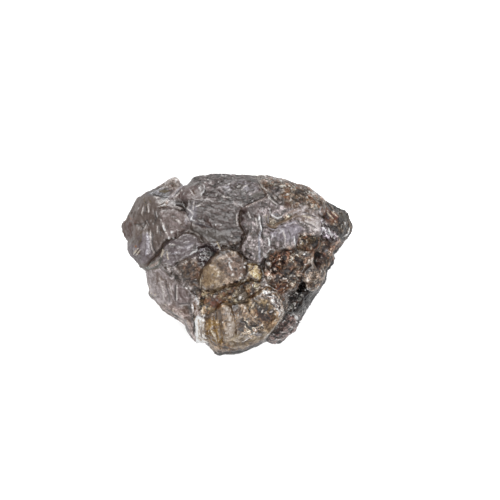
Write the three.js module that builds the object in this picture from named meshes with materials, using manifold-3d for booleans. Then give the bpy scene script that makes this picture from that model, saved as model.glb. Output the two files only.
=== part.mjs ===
// A rough diamond: one broken, partly crusted crystal, 9 mm across, lying on its flat cleavage face.
// Millimetres, +Z up. The origin is on the surface that the stone rests on, under the middle of its box.
import * as THREE from "three";
import { ImprovedNoise } from "three/addons/math/ImprovedNoise.js";
import { mergeVertices } from "three/addons/utils/BufferGeometryUtils.js";
import Module from "manifold-3d";

// Driving dimensions
const girdleHeight = 1.9; // the widest level of the stone, above the surface that it rests on
const crownRise = 1.9; // the middle of the face above the girdle, before its lamellae
const crownFallX = 0.055; // how fast the face falls away to the sides, per mm
const crownFallY = 0.075;
const ledgeWidth = 0.1; // how wide a lamella's edge is, where it gives no ledge of its own
const rimWidth = 0.5; // the band along the outline where the face rolls over
const rimDrop = 0.42;
const wallRough = 0.16; // how deep the wall's broken surface goes
const terraceDepth = 0.09; // the wall's growth steps
const terraceHeight = 0.62;
const stepTurn = 12; // how far a ledge across a cleavage plane turns from straight down, in degrees
const footInset = 0.85; // how far in the wall's bottom is, before the underside is cleaved
const rimSpacing = 0.12; // mesh spacings
const ledgeSpacing = 0.11;
const fillSpacing = 0.165;
const wallSpacing = 0.3;
const nearestPoint = 0.065;

// The stone's outline seen from above, anticlockwise from its east tip.
const outline = [
  [4.5, 1.5], [4.36, 1.8], [4.3, 2.0], [4.15, 2.12], [3.95, 2.18], [3.78, 2.27], [3.62, 2.35],
  [3.5, 2.43], [3.3, 2.58], [3.05, 2.77], [2.8, 2.97], [2.55, 3.08], [2.25, 3.15], [1.95, 3.27],
  [1.7, 3.32], [1.45, 3.36], [1.25, 3.44], [0.95, 3.45], [0.6, 3.42], [0.3, 3.47], [-0.25, 3.46],
  [-0.5, 3.53], [-0.85, 3.51], [-1.2, 3.46], [-1.5, 3.44], [-1.7, 3.37], [-1.8, 3.2], [-1.92, 3.08],
  [-2.1, 3.0], [-2.2, 3.1], [-2.26, 3.3], [-2.37, 3.38], [-2.52, 3.36], [-2.7, 3.25], [-2.95, 3.08],
  [-3.3, 2.9], [-3.6, 2.75], [-3.85, 2.58], [-4.02, 2.3], [-4.15, 2.05], [-4.3, 1.8], [-4.46, 1.62],
  [-4.5, 1.48], [-4.42, 1.25], [-4.35, 1.05], [-4.25, 0.9], [-4.24, 0.6], [-4.15, 0.38], [-4.0, 0.25],
  [-3.82, 0.02], [-3.75, -0.1], [-3.58, -0.2], [-3.52, -0.35], [-3.48, -0.7], [-3.42, -0.95],
  [-3.45, -1.1], [-3.4, -1.22], [-3.22, -1.35], [-3.02, -1.6], [-2.92, -1.75], [-2.7, -1.9],
  [-2.45, -2.07], [-2.2, -2.2], [-2.02, -2.35], [-1.93, -2.6], [-1.78, -2.8], [-1.62, -2.98],
  [-1.45, -3.01], [-1.2, -3.01], [-1.0, -3.2], [-0.85, -3.4], [-0.78, -3.5], [-0.68, -3.53],
  [-0.5, -3.47], [-0.2, -3.47], [0.05, -3.43], [0.35, -3.33], [0.7, -3.18], [1.05, -2.99],
  [1.18, -3.0], [1.4, -3.09], [1.65, -3.05], [1.85, -2.92], [2.0, -2.75], [2.25, -2.58], [2.4, -2.3],
  [2.55, -2.05], [2.75, -1.7], [3.0, -1.3], [3.25, -0.9], [3.42, -0.6], [3.48, -0.3], [3.6, -0.12],
  [3.72, 0.05], [3.8, 0.24], [3.72, 0.38], [3.85, 0.5], [4.02, 0.72], [4.18, 0.92], [4.38, 1.18],
  [4.45, 1.35],
];

// The lamellae of the face, lowest first. Each has an outline, a height above the girdle at one point,
// slopes along x and y, and, where it needs them, a bulge that falls away from that point,
// a crumb height for rough crust and the width of the ledge round it.
const lamellae = [
  {
    name: "south west slope",
    outline: [[-3.55, -0.15], [-2.95, -0.05], [-2.55, -0.4], [-2.1, -0.6], [-1.75, -1.05], [-1.85, -1.55],
      [-1.72, -2.1], [-1.62, -3.2], [-2.3, -2.8], [-3.3, -1.9], [-3.8, -1.1]],
    at: [-2.5, -1.2], rise: 1.15, slope: [0.38, 0.22],
  },
  {
    name: "south west skirt",
    outline: [[-3.1, -1.5], [-2.75, -1.7], [-2.3, -1.95], [-2.0, -2.15], [-1.9, -2.5], [-1.7, -3.1],
      [-2.4, -2.9], [-3.3, -2.0]],
    at: [-2.5, -1.95], rise: 0.85, slope: [0.35, 0.6],
  },
  {
    name: "south west panel",
    outline: [[-2.38, -0.85], [-1.95, -0.75], [-1.72, -1.1], [-1.8, -1.5], [-2.15, -1.52], [-2.36, -1.3]],
    at: [-2.05, -1.1], rise: 1.42, slope: [0.3, 0.12], ledge: 0.07,
  },
  {
    name: "west flank",
    outline: [[-4.7, 1.5], [-4.1, 2.6], [-3.5, 2.95], [-3.05, 2.75], [-2.98, 2.05], [-2.72, 1.5],
      [-2.62, 1.1], [-2.8, 0.8], [-3.0, 0.55], [-3.35, 0.2], [-3.6, -0.12], [-4.1, -0.1], [-4.5, 0.6]],
    at: [-3.3, 1.2], rise: 1.45, slope: [0.42, 0.0],
  },
  {
    name: "west corner facet",
    outline: [[-4.7, 1.9], [-4.15, 1.95], [-3.95, 1.5], [-3.98, 1.1], [-4.15, 0.8], [-4.6, 0.8]],
    at: [-4.2, 1.4], rise: 0.9, slope: [0.7, 0.05],
  },
  {
    name: "west lower facet",
    outline: [[-3.7, 1.0], [-3.3, 1.15], [-3.2, 0.55], [-3.45, 0.15], [-3.8, -0.1], [-4.0, 0.25],
      [-3.95, 0.6]],
    at: [-3.55, 0.5], rise: 1.3, slope: [0.2, 0.25], ledge: 0.06,
  },
  {
    name: "north west saddle",
    outline: [[-3.05, 2.75], [-2.6, 2.95], [-2.15, 3.1], [-1.9, 2.95], [-1.7, 2.6], [-1.75, 2.3],
      [-2.1, 2.1], [-2.6, 2.15], [-3.05, 2.1]],
    at: [-2.4, 2.5], rise: 1.66, slope: [0.22, -0.1], ledge: 0.2,
  },
  {
    name: "north west ear",
    outline: [[-3.7, 2.8], [-3.0, 3.25], [-2.4, 3.6], [-2.12, 3.4], [-2.12, 3.02], [-2.3, 2.82],
      [-2.7, 2.7], [-3.2, 2.76]],
    at: [-2.6, 3.0], rise: 1.5, slope: [0.12, -0.2], ledge: 0.16, crumb: 0.02,
  },
  {
    name: "shoulder",
    outline: [[-3.05, 2.15], [-2.6, 2.2], [-2.2, 2.15], [-1.9, 1.95], [-1.78, 1.7], [-1.85, 1.45],
      [-2.05, 1.3], [-2.3, 1.1], [-2.6, 0.95], [-2.75, 1.1], [-2.88, 1.6]],
    at: [-2.3, 1.6], rise: 1.92, slope: [0.05, 0.1], bulge: 0.16, crumb: 0.03,
  },
  {
    name: "north block",
    outline: [[-2.1, 2.95], [-1.7, 3.7], [-0.5, 3.9], [0.7, 3.8], [0.95, 3.2], [1.3, 2.6], [0.8, 2.2],
      [0.1, 2.1], [-0.6, 2.3], [-1.3, 2.3], [-1.9, 2.3]],
    at: [-0.5, 2.8], rise: 1.86, slope: [0.05, -0.42], crumb: 0.02,
  },
  {
    name: "north curl",
    outline: [[-1.95, 2.95], [-1.45, 3.15], [-1.25, 3.0], [-1.35, 2.65], [-1.65, 2.5], [-2.05, 2.6]],
    at: [-1.6, 2.8], rise: 1.9, slope: [0.1, -0.15], ledge: 0.07, crumb: 0.03,
  },
  {
    name: "north shelf",
    outline: [[-0.9, 3.0], [-0.2, 3.25], [0.6, 3.3], [0.9, 3.05], [0.85, 2.8], [0.35, 2.62], [-0.3, 2.62]],
    at: [0.0, 2.95], rise: 1.92, slope: [0.02, -0.3], ledge: 0.07,
  },
  {
    name: "middle plate",
    outline: [[-1.95, 2.42], [-1.2, 2.48], [-0.5, 2.43], [0.2, 2.33], [0.12, 1.9], [0.2, 1.45], [0.38, 1.15],
      [0.2, 0.85], [-0.2, 0.75], [-0.6, 0.65], [-0.9, 0.3], [-1.15, 0.85], [-1.4, 1.1], [-1.8, 1.35],
      [-1.75, 1.7], [-1.95, 2.1]],
    at: [-0.8, 1.5], rise: 2.0, slope: [0.12, -0.05],
  },
  {
    name: "west lamella",
    outline: [[-2.8, 0.75], [-2.45, 0.98], [-2.2, 1.15], [-1.9, 1.25], [-1.6, 1.17], [-1.35, 0.95],
      [-1.22, 0.75], [-1.45, 0.6], [-1.6, 0.4], [-2.0, 0.2], [-2.4, 0.05], [-2.9, -0.02], [-2.95, 0.35]],
    at: [-2.1, 0.6], rise: 1.72, slope: [0.15, 0.1],
  },
  {
    name: "west step",
    outline: [[-3.5, -0.2], [-2.95, 0.0], [-2.85, 0.3], [-3.1, 0.28], [-3.42, 0.05]],
    at: [-3.1, 0.1], rise: 1.35, slope: [0.3, 0.1], ledge: 0.06,
  },
  {
    name: "pitted patch",
    outline: [[-2.6, -0.05], [-2.0, 0.18], [-1.6, 0.38], [-1.0, 0.0], [-1.35, -0.2], [-1.45, -0.6],
      [-1.3, -1.0], [-1.6, -1.2], [-1.8, -1.0], [-2.1, -0.6], [-2.5, -0.4]],
    at: [-1.8, -0.2], rise: 1.55, slope: [0.18, 0.15], crumb: 0.05,
  },
  {
    name: "sparkling patch",
    outline: [[-1.6, 0.65], [-1.2, 0.75], [-0.85, 0.6], [-0.75, 0.35], [-1.05, 0.05], [-1.5, 0.1],
      [-1.55, 0.35]],
    at: [-1.2, 0.4], rise: 1.62, slope: [0.1, 0.1], crumb: 0.08,
  },
  {
    name: "north east crust",
    outline: [[0.7, 3.8], [1.5, 3.7], [2.6, 3.4], [3.7, 2.8], [3.9, 2.2], [3.6, 1.9], [3.0, 1.9],
      [2.4, 2.0], [1.9, 2.0], [1.4, 2.2], [1.2, 2.6], [0.95, 3.0]],
    at: [2.2, 2.7], rise: 1.92, slope: [-0.2, -0.42], crumb: 0.05,
  },
  {
    name: "east lamella",
    outline: [[0.15, 1.9], [0.2, 2.2], [0.6, 2.42], [1.15, 2.58], [1.3, 2.68], [1.55, 2.4], [1.9, 2.22],
      [2.5, 2.2], [3.1, 2.1], [3.35, 1.7], [3.3, 1.2], [3.0, 1.0], [2.5, 1.1], [2.25, 0.8], [2.2, 0.5],
      [1.8, 0.6], [1.4, 0.6], [1.1, 0.35], [0.9, 0.05], [0.5, 0.25], [0.2, 0.5], [0.12, 0.7],
      [0.3, 0.95], [0.42, 1.2], [0.22, 1.5]],
    at: [1.2, 1.2], rise: 2.22, slope: [-0.14, -0.08],
  },
  {
    name: "east shelf",
    outline: [[1.0, 1.42], [1.42, 1.3], [1.85, 1.5], [2.35, 1.75], [2.75, 1.85], [3.1, 1.7], [3.2, 1.25],
      [2.85, 1.1], [2.4, 1.2], [2.1, 0.95], [1.75, 0.8], [1.35, 1.1]],
    at: [2.0, 1.35], rise: 2.2, slope: [-0.16, 0.04], ledge: 0.06,
  },
  {
    name: "bright ridge",
    outline: [[0.7, 2.02], [0.86, 2.0], [0.95, 1.25], [1.03, 0.42], [0.9, 0.36], [0.8, 1.05]],
    at: [0.85, 1.2], rise: 2.33, slope: [0.1, 0], ledge: 0.08,
  },
  {
    name: "east tip",
    outline: [[3.35, 2.4], [4.0, 2.6], [4.8, 1.8], [4.8, 1.2], [4.2, 0.6], [3.8, 0.85], [3.55, 1.4],
      [3.35, 1.8]],
    at: [3.9, 1.6], rise: 1.2, slope: [-0.5, -0.05],
  },
  {
    name: "glinting step",
    outline: [[3.22, 1.8], [3.4, 1.75], [3.68, 1.4], [3.86, 0.95], [3.7, 0.83], [3.5, 1.0], [3.2, 1.3]],
    at: [3.5, 1.3], rise: 1.5, slope: [-0.6, 0.2], ledge: 0.06,
  },
  {
    name: "east crust",
    outline: [[1.05, 0.1], [1.15, 0.4], [1.5, 0.6], [2.2, 0.55], [2.6, 0.6], [3.2, 0.55], [4.0, 0.5],
      [4.1, 0.1], [3.7, -0.5], [3.3, -0.95], [2.75, -1.0], [2.5, -0.7], [2.2, -0.95], [1.85, -1.1],
      [1.5, -0.95], [1.2, -0.6], [1.05, -0.3]],
    at: [2.2, -0.1], rise: 1.72, slope: [-0.38, 0.15], crumb: 0.09,
  },
  {
    name: "east crust patch",
    outline: [[2.3, 0.75], [2.5, 1.1], [3.0, 1.1], [3.25, 0.85], [3.05, 0.58], [2.4, 0.6]],
    at: [2.75, 0.85], rise: 1.8, slope: [-0.3, 0.1], crumb: 0.07,
  },
  {
    name: "east mound",
    outline: [[2.55, -0.3], [2.85, 0.05], [3.1, -0.15], [3.5, -0.3], [3.4, -0.7], [3.0, -0.98],
      [2.75, -0.85]],
    at: [3.0, -0.45], rise: 1.62, slope: [-0.3, 0.2], bulge: 0.4, crumb: 0.03,
  },
  {
    name: "dark window",
    outline: [[1.95, -1.1], [2.3, -0.95], [2.55, -0.6], [2.75, -1.0], [3.3, -1.1], [3.1, -1.6],
      [2.6, -2.3], [2.3, -1.9], [1.9, -1.9], [1.85, -1.5]],
    at: [2.4, -1.4], rise: 0.98, slope: [-0.5, 0.25], crumb: 0.05,
  },
  {
    name: "south east lobe",
    outline: [[1.8, -1.85], [2.35, -1.9], [2.8, -2.0], [2.5, -2.8], [1.8, -3.4], [1.05, -3.3], [1.12, -2.9],
      [1.4, -2.5]],
    at: [1.8, -2.45], rise: 0.82, slope: [-0.25, 0.2], bulge: 0.15,
  },
  {
    name: "rubble valley",
    outline: [[-1.6, -1.2], [-1.2, -1.0], [-0.5, -0.9], [0.1, -0.72], [0.5, -0.6], [1.0, -0.6], [1.35, -0.9],
      [0.7, -1.2], [0.3, -1.5], [-0.3, -1.45], [-0.6, -1.6], [-1.2, -1.95], [-1.5, -1.8]],
    at: [-0.2, -1.2], rise: 1.62, slope: [0.05, 0.1], crumb: 0.09,
  },
  {
    name: "white facet",
    outline: [[-1.78, -1.5], [-1.58, -1.2], [-1.4, -1.6], [-1.25, -2.0], [-1.15, -2.5], [-1.05, -3.2],
      [-1.68, -3.2], [-1.64, -2.1]],
    at: [-1.45, -2.2], rise: 1.42, slope: [0.95, 0.1],
  },
  {
    name: "lower lobe",
    outline: [[-1.22, -1.95], [-0.85, -1.75], [-0.55, -1.45], [-0.1, -1.5], [0.4, -1.45], [0.75, -1.1],
      [1.2, -0.85], [1.6, -1.05], [1.8, -1.4], [1.82, -1.85], [1.6, -2.25], [1.3, -2.6], [1.08, -2.88],
      [0.9, -3.4], [0.0, -3.7], [-0.8, -3.9], [-1.15, -3.2], [-1.15, -2.5]],
    at: [0.3, -1.9], rise: 1.98, slope: [0.02, 0.12], bulge: 0.13,
  },
  {
    name: "lower lobe cap",
    outline: [[0.45, -1.3], [0.95, -1.0], [1.45, -1.15], [1.62, -1.6], [1.55, -2.0], [1.15, -2.3],
      [0.7, -2.1], [0.4, -1.7]],
    at: [1.05, -1.6], rise: 2.0, slope: [0.05, 0.1], bulge: 0.28, ledge: 0.14,
  },
  {
    name: "lower lobe blade",
    outline: [[-0.62, -1.5], [-0.25, -1.55], [-0.1, -2.1], [-0.05, -2.7], [-0.45, -2.95], [-0.6, -2.3]],
    at: [-0.35, -2.2], rise: 2.02, slope: [0.1, 0.2], ledge: 0.1,
  },
  {
    name: "honey facet",
    outline: [[0.35, 0.05], [0.85, 0.0], [0.95, -0.35], [0.85, -0.65], [0.55, -0.6], [0.35, -0.35]],
    at: [0.6, -0.25], rise: 1.98, slope: [0.1, 0.25], ledge: 0.08,
  },
  {
    name: "upper lobe",
    outline: [[-0.85, 0.35], [-0.6, 0.6], [-0.3, 0.65], [0.05, 0.5], [0.3, 0.2], [0.38, -0.1], [0.25, -0.45],
      [0.0, -0.7], [-0.3, -0.75], [-0.6, -0.9], [-0.95, -1.0], [-1.25, -0.95], [-1.42, -0.6],
      [-1.35, -0.25], [-1.1, 0.05]],
    at: [-0.35, -0.05], rise: 2.22, slope: [0.03, 0.02], bulge: 0.22, ledge: 0.14, crumb: 0.02,
  },
];

// Grooves and cracks of the face: a line of points, a half width and a depth.
const grooves = [
  {
    name: "brown groove",
    line: [[-3.75, -0.2], [-3.4, 0.08], [-3.1, 0.4], [-2.9, 0.6], [-2.78, 0.85]],
    width: 0.1, depth: 0.17,
  },
  {
    name: "west seam",
    line: [[-2.78, 0.85], [-2.4, 1.03], [-2.15, 1.2], [-1.9, 1.27], [-1.6, 1.2], [-1.35, 0.95], [-1.2, 0.72]],
    width: 0.06, depth: 0.08,
  },
  {
    name: "curved crack",
    line: [[1.15, 2.75], [1.05, 2.62], [0.6, 2.45], [0.25, 2.25], [0.12, 1.95], [0.12, 1.6], [0.28, 1.35],
      [0.37, 1.15], [0.22, 0.9], [0.1, 0.65]],
    width: 0.065, depth: 0.13,
  },
  {
    name: "notch valley",
    line: [[-2.1, 3.1], [-2.22, 2.8], [-2.12, 2.5], [-1.95, 2.25]],
    width: 0.12, depth: 0.1,
  },
  {
    name: "lobe seam",
    line: [[1.85, -1.75], [1.62, -2.25], [1.28, -2.68], [1.12, -3.1]],
    width: 0.08, depth: 0.18,
  },
  {
    name: "shelf channel",
    line: [[1.25, 2.05], [1.22, 1.6], [1.45, 1.44], [1.9, 1.66], [2.35, 1.93], [2.75, 1.97]],
    width: 0.12, depth: 0.1,
  },
  {
    name: "collar crack",
    line: [[-0.55, 0.72], [-0.1, 0.62], [0.15, 0.5], [0.5, 0.12]],
    width: 0.07, depth: 0.12,
  },
];

// Hollows of the face: centre, half length and half width, turn in degrees, depth.
const hollows = [
  { name: "brown cavity", at: [1.5, -0.02], half: [0.42, 0.3], turn: 70, depth: 0.42 },
  { name: "east pit", at: [3.12, 0.18], half: [0.3, 0.2], turn: 100, depth: 0.34 },
  { name: "middle dimple", at: [-1.32, 1.6], half: [0.42, 0.15], turn: -12, depth: 0.12 },
  { name: "north dimple", at: [-2.1, 2.33], half: [0.24, 0.13], turn: -30, depth: 0.13 },
  { name: "orange hollow", at: [1.95, 2.3], half: [0.3, 0.16], turn: 5, depth: 0.12 },
  { name: "valley pit", at: [-1.38, -1.4], half: [0.2, 0.14], turn: 60, depth: 0.22 },
  { name: "lobe pit", at: [0.5, -2.35], half: [0.26, 0.12], turn: -40, depth: 0.12 },
  { name: "grey pit", at: [0.15, -1.2], half: [0.3, 0.2], turn: 60, depth: 0.2 },
  { name: "dark corner", at: [2.45, -0.85], half: [0.25, 0.2], turn: 40, depth: 0.22 },
];

// Cleavage planes: the way that each faces, in degrees from east, and its slope from level. Those of the sides
// leave the outline at a height. Those of the underside meet the resting face at a reach from the middle.
// A step is a ledge across the plane: its depth, and how far to one side of the plane's middle it starts.
const sidePlanes = [
  { turn: 8, slope: 57, height: 1.75, step: 0.14, start: 0.3 },
  { turn: 38, slope: 66, height: 1.5 },
  { turn: 75, slope: 72, height: 1.9, step: 0.12, start: -0.8 },
  { turn: 104, slope: 63, height: 1.75 },
  { turn: 136, slope: 58, height: 1.9, step: 0.15, start: 0.6 },
  { turn: 170, slope: 62, height: 1.7 },
  { turn: 207, slope: 55, height: 1.95, step: 0.13, start: -0.2 },
  { turn: 238, slope: 64, height: 1.8 },
  { turn: 270, slope: 70, height: 1.75 },
  { turn: 303, slope: 60, height: 1.7, step: 0.12, start: 0.5 },
  { turn: 333, slope: 68, height: 1.8 },
];
const underPlanes = [
  { turn: 14, slope: 33, reach: 2.5, step: 0.1, start: 0.2 },
  { turn: 55, slope: 40, reach: 2.3 },
  { turn: 98, slope: 46, reach: 1.95, step: 0.1, start: -0.5 },
  { turn: 143, slope: 37, reach: 2.4 },
  { turn: 186, slope: 31, reach: 2.3, step: 0.12, start: 0.4 },
  { turn: 224, slope: 43, reach: 1.9 },
  { turn: 263, slope: 40, reach: 1.8, step: 0.1, start: 0.3 },
  { turn: 309, slope: 48, reach: 1.75 },
  { turn: 344, slope: 36, reach: 2.2 },
];

const noise = new ImprovedNoise();
const { clamp, smoothstep, lerp, degToRad } = THREE.MathUtils;

// How far a point is inside a closed outline; negative outside it.
function insideDistance(shape, x, y) {
  let nearest = Infinity;
  let inside = false;
  shape.forEach(([ax, ay], i) => {
    const [bx, by] = shape[(i + 1) % shape.length];
    nearest = Math.min(nearest, segmentDistance(ax, ay, bx, by, x, y));
    if (ay > y !== by > y && x < ax + ((y - ay) * (bx - ax)) / (by - ay)) inside = !inside;
  });
  return inside ? nearest : -nearest;
}

function segmentDistance(ax, ay, bx, by, x, y) {
  const along = ((x - ax) * (bx - ax) + (y - ay) * (by - ay)) / ((bx - ax) ** 2 + (by - ay) ** 2);
  const t = clamp(along, 0, 1);
  return Math.hypot(x - lerp(ax, bx, t), y - lerp(ay, by, t));
}

function lineDistance(line, x, y) {
  return Math.min(...line.slice(1).map(([bx, by], i) => segmentDistance(...line[i], bx, by, x, y)));
}

// Rough crust: lumps of two sizes.
function crumbs(x, y) {
  return noise.noise(x / 0.4, y / 0.4, 3.7) + 0.7 * noise.noise(x / 0.23, y / 0.23, 8.1);
}

// The slow unevenness of every broken surface.
function swell(x, y) {
  return 0.05 * noise.noise(x / 0.9, y / 0.9, 0.5) + 0.03 * noise.noise(x / 0.4, y / 0.4, 5.2);
}

function lamellaRise(l, x, y) {
  const dx = x - l.at[0];
  const dy = y - l.at[1];
  const bulge = (l.bulge ?? 0) * (dx * dx + dy * dy);
  return l.rise + l.slope[0] * dx + l.slope[1] * dy - bulge + (l.crumb ?? 0) * crumbs(x, y);
}

function hollowDepth(h, x, y) {
  const turn = degToRad(h.turn);
  const dx = x - h.at[0];
  const dy = y - h.at[1];
  const u = (dx * Math.cos(turn) + dy * Math.sin(turn)) / h.half[0];
  const v = (dy * Math.cos(turn) - dx * Math.sin(turn)) / h.half[1];
  return h.depth * (1 - smoothstep(Math.hypot(u, v), 0.35, 1.15));
}

// The height of the face over a point, above the surface that the stone rests on.
function faceHeight(x, y) {
  let rise = crownRise - crownFallX * x * x - crownFallY * (y - 0.3) ** 2;
  for (const l of lamellae) {
    const edge = (l.ledge ?? ledgeWidth) / 2;
    const share = smoothstep(insideDistance(l.outline, x, y), -edge, edge);
    if (share > 0) rise = lerp(rise, lamellaRise(l, x, y), share);
  }
  for (const g of grooves) rise -= g.depth * (1 - smoothstep(lineDistance(g.line, x, y), 0, g.width));
  for (const h of hollows) rise -= hollowDepth(h, x, y);
  const toRim = clamp(insideDistance(outline, x, y), 0, rimWidth) / rimWidth;
  return girdleHeight + rise + swell(x, y) - rimDrop * (1 - toRim) ** 2;
}

// Points along a line or a closed outline, about one spacing apart, with the line's direction at each.
function walk(line, spacing, closed) {
  const made = [];
  const legs = closed ? line.length : line.length - 1;
  for (let i = 0; i < legs; i++) {
    const [ax, ay] = line[i];
    const [bx, by] = line[(i + 1) % line.length];
    const length = Math.hypot(bx - ax, by - ay);
    const count = Math.max(1, Math.round(length / spacing));
    for (let k = 0; k < count; k++) {
      made.push({
        x: lerp(ax, bx, k / count),
        y: lerp(ay, by, k / count),
        side: [(by - ay) / length, (ax - bx) / length],
      });
    }
  }
  return made;
}

// The points that the face is meshed on: its rim, the grooves, both edges of each ledge that shows, and a
// loose fill in rows, shaken a little.
function facePoints(rim) {
  const points = rim.map((p) => [p.x, p.y]);
  const buried = (i, x, y) => {
    const above = lamellae.slice(i + 1);
    return above.some((lamella) => insideDistance(lamella.outline, x, y) > nearestPoint);
  };
  const add = (x, y, room) => {
    if (insideDistance(outline, x, y) < nearestPoint) return;
    if (points.some(([px, py]) => Math.hypot(px - x, py - y) < room)) return;
    points.push([x, y]);
  };
  for (const g of grooves)
    for (const p of walk(g.line, ledgeSpacing, false))
      for (const o of [0, g.width, -g.width]) add(p.x + o * p.side[0], p.y + o * p.side[1], nearestPoint);
  for (let i = lamellae.length - 1; i >= 0; i--) {
    const edge = (lamellae[i].ledge ?? ledgeWidth) / 2;
    for (const p of walk(lamellae[i].outline, ledgeSpacing, true)) {
      if (buried(i, p.x, p.y)) continue;
      for (const o of [edge, -edge]) add(p.x + o * p.side[0], p.y + o * p.side[1], nearestPoint);
    }
  }
  const { min, max } = new THREE.Box2().setFromPoints(outline.map(([x, y]) => new THREE.Vector2(x, y)));
  const shake = (x, y, seed) => 0.35 * fillSpacing * noise.noise(x * 7.3, y * 7.3, seed);
  for (let y = min.y; y < max.y; y += fillSpacing * 0.87) {
    for (let x = min.x; x < max.x; x += fillSpacing) {
      add(x + shake(x, y, 1.5), y + shake(x, y, 9.5), 0.75 * fillSpacing);
    }
  }
  return points;
}

// Delaunay triangulation, a point at a time. Each triangle keeps the circle through its corners.
function triangulate(points) {
  const far = 1000;
  const all = [...points, [-far, -far], [far, -far], [0, far]];
  const n = points.length;
  const withCircle = (a, b, c) => {
    const [ax, ay] = all[a];
    const [bx, by] = [all[b][0] - ax, all[b][1] - ay];
    const [cx, cy] = [all[c][0] - ax, all[c][1] - ay];
    const d = 2 * (bx * cy - by * cx);
    const ux = (cy * (bx * bx + by * by) - by * (cx * cx + cy * cy)) / d;
    const uy = (bx * (cx * cx + cy * cy) - cx * (bx * bx + by * by)) / d;
    return { corners: [a, b, c], x: ax + ux, y: ay + uy, r2: ux * ux + uy * uy };
  };
  let triangles = [withCircle(n, n + 1, n + 2)];
  points.forEach(([x, y], i) => {
    const edges = new Map();
    triangles = triangles.filter((t) => {
      if ((x - t.x) ** 2 + (y - t.y) ** 2 > t.r2) return true;
      t.corners.forEach((a, k) => {
        const b = t.corners[(k + 1) % 3];
        if (!edges.delete(b + "," + a)) edges.set(a + "," + b, [a, b]);
      });
      return false;
    });
    edges.forEach(([a, b]) => triangles.push(withCircle(a, b, i)));
  });
  return triangles.map((t) => t.corners).filter((t) => t.every((k) => k < n));
}

// How far the broken wall stands back from the rim's own line, at a point under it: terraces, whose levels
// wander round the stone, and the rough surface between them.
function wallInset(x, y, z) {
  const level = girdleHeight + 1 - z + 0.5 * noise.noise(x / 1.6, y / 1.6, 4.4);
  const steps = Math.max(0, level / terraceHeight);
  const terrace = terraceDepth * (Math.floor(steps) + smoothstep(steps % 1, 0.7, 1));
  const rough = wallRough * (0.5 + 0.5 * noise.noise(x / 0.7, y / 0.7, z / 0.6));
  return terrace + rough;
}

// A point of the wall: how far along the rim, counted in its points, and how far down, from 0 to 1.
function wallPoint(rim, along, down) {
  const from = rim[Math.floor(along) % rim.length];
  const to = rim[Math.ceil(along) % rim.length];
  const share = along - Math.floor(along);
  const [x, y] = [lerp(from.x, to.x, share), lerp(from.y, to.y, share)];
  const z = lerp(faceHeight(from.x, from.y), faceHeight(to.x, to.y), share) * (1 - down);
  const inward = smoothstep(down, 0, 0.15) * wallInset(x, y, z) + footInset * down * down;
  const scale = 1 - inward / Math.hypot(x, y);
  return [x * scale, y * scale, z];
}

// The wall, meshed on its unrolled strip, whose top edge has the rim's points and whose two ends are one seam.
function wallTriangles(rim) {
  const length = rim.length * rimSpacing;
  const depth = girdleHeight + 1;
  const rows = Math.round(depth / wallSpacing);
  const columns = Math.round(length / wallSpacing);
  const strip = [];
  for (let i = 0; i <= rim.length; i++) strip.push([i * rimSpacing, 0]);
  for (let row = 1; row <= rows; row++) {
    for (let i = 0; i <= columns; i++) {
      const loose = i > 0 && i < columns && row < rows;
      const shift = loose ? 0.25 * ((row % 2) + noise.noise(i * 1.7, row * 1.7, 2.6)) : 0;
      strip.push([((i + shift) * length) / columns, (-depth * row) / rows]);
    }
  }
  const onWall = strip.map(([s, d]) => wallPoint(rim, clamp(s / rimSpacing, 0, rim.length), -d / depth));
  return triangulate(strip).map((t) => t.map((k) => onWall[k]));
}

// The face, its triangles kept where they are inside the outline.
function faceTriangles(rim) {
  const points = facePoints(rim);
  const onFace = points.map(([x, y]) => [x, y, faceHeight(x, y)]);
  const middle = (t, axis) => (points[t[0]][axis] + points[t[1]][axis] + points[t[2]][axis]) / 3;
  const kept = triangulate(points).filter((t) => insideDistance(outline, middle(t, 0), middle(t, 1)) > 0);
  return kept.map((t) => t.map((k) => onFace[k]));
}

// The flat foot that closes the wall.
function footTriangles(rim) {
  const columns = Math.round((rim.length * rimSpacing) / wallSpacing);
  const edge = [];
  for (let i = 0; i < columns; i++) edge.push(wallPoint(rim, (i * rim.length) / columns, 1));
  const flat = edge.map(([x, y]) => new THREE.Vector2(x, y));
  return THREE.ShapeUtils.triangulateShape(flat, []).map(([a, b, c]) => [edge[a], edge[c], edge[b]]);
}

// The block before cleaving: the face, the wall under its rim and the foot.
function blockGeometry() {
  const rim = walk(outline, rimSpacing, true);
  const triangles = [...faceTriangles(rim), ...wallTriangles(rim), ...footTriangles(rim)];
  const geometry = new THREE.BufferGeometry();
  geometry.setAttribute("position", new THREE.Float32BufferAttribute(triangles.flat(2), 3));
  return geometry;
}

// How far the outline reaches in a direction.
function outlineReach(turn) {
  const [c, s] = [Math.cos(degToRad(turn)), Math.sin(degToRad(turn))];
  return Math.max(...outline.map(([x, y]) => x * c + y * s));
}

// Big cubes that lie on the outer side of a cleavage plane, the second one for its step.
function cleavers({ turn, slope, reach, height, step, start }) {
  const size = 30;
  const cubes = [new THREE.BoxGeometry(size, size, size).translate(0, 0, size / 2)];
  if (step) {
    const second = new THREE.BoxGeometry(size, size, size).translate(0, start + size / 2, size / 2 - step);
    cubes.push(second.rotateZ(degToRad(stepTurn)));
  }
  const lean = new THREE.Matrix4().makeRotationY(degToRad(180 - slope));
  const facing = new THREE.Matrix4().makeRotationZ(degToRad(turn));
  for (const cube of cubes) cube.applyMatrix4(lean).translate(reach, 0, height).applyMatrix4(facing);
  return cubes;
}

const wasm = await Module();
wasm.setup();

function solidOf(geometry) {
  geometry.deleteAttribute("normal");
  geometry.deleteAttribute("uv");
  const merged = mergeVertices(geometry);
  return new wasm.Manifold(
    new wasm.Mesh({
      numProp: 3,
      vertProperties: merged.attributes.position.array,
      triVerts: new Uint32Array(merged.index.array),
    }),
  );
}

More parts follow.
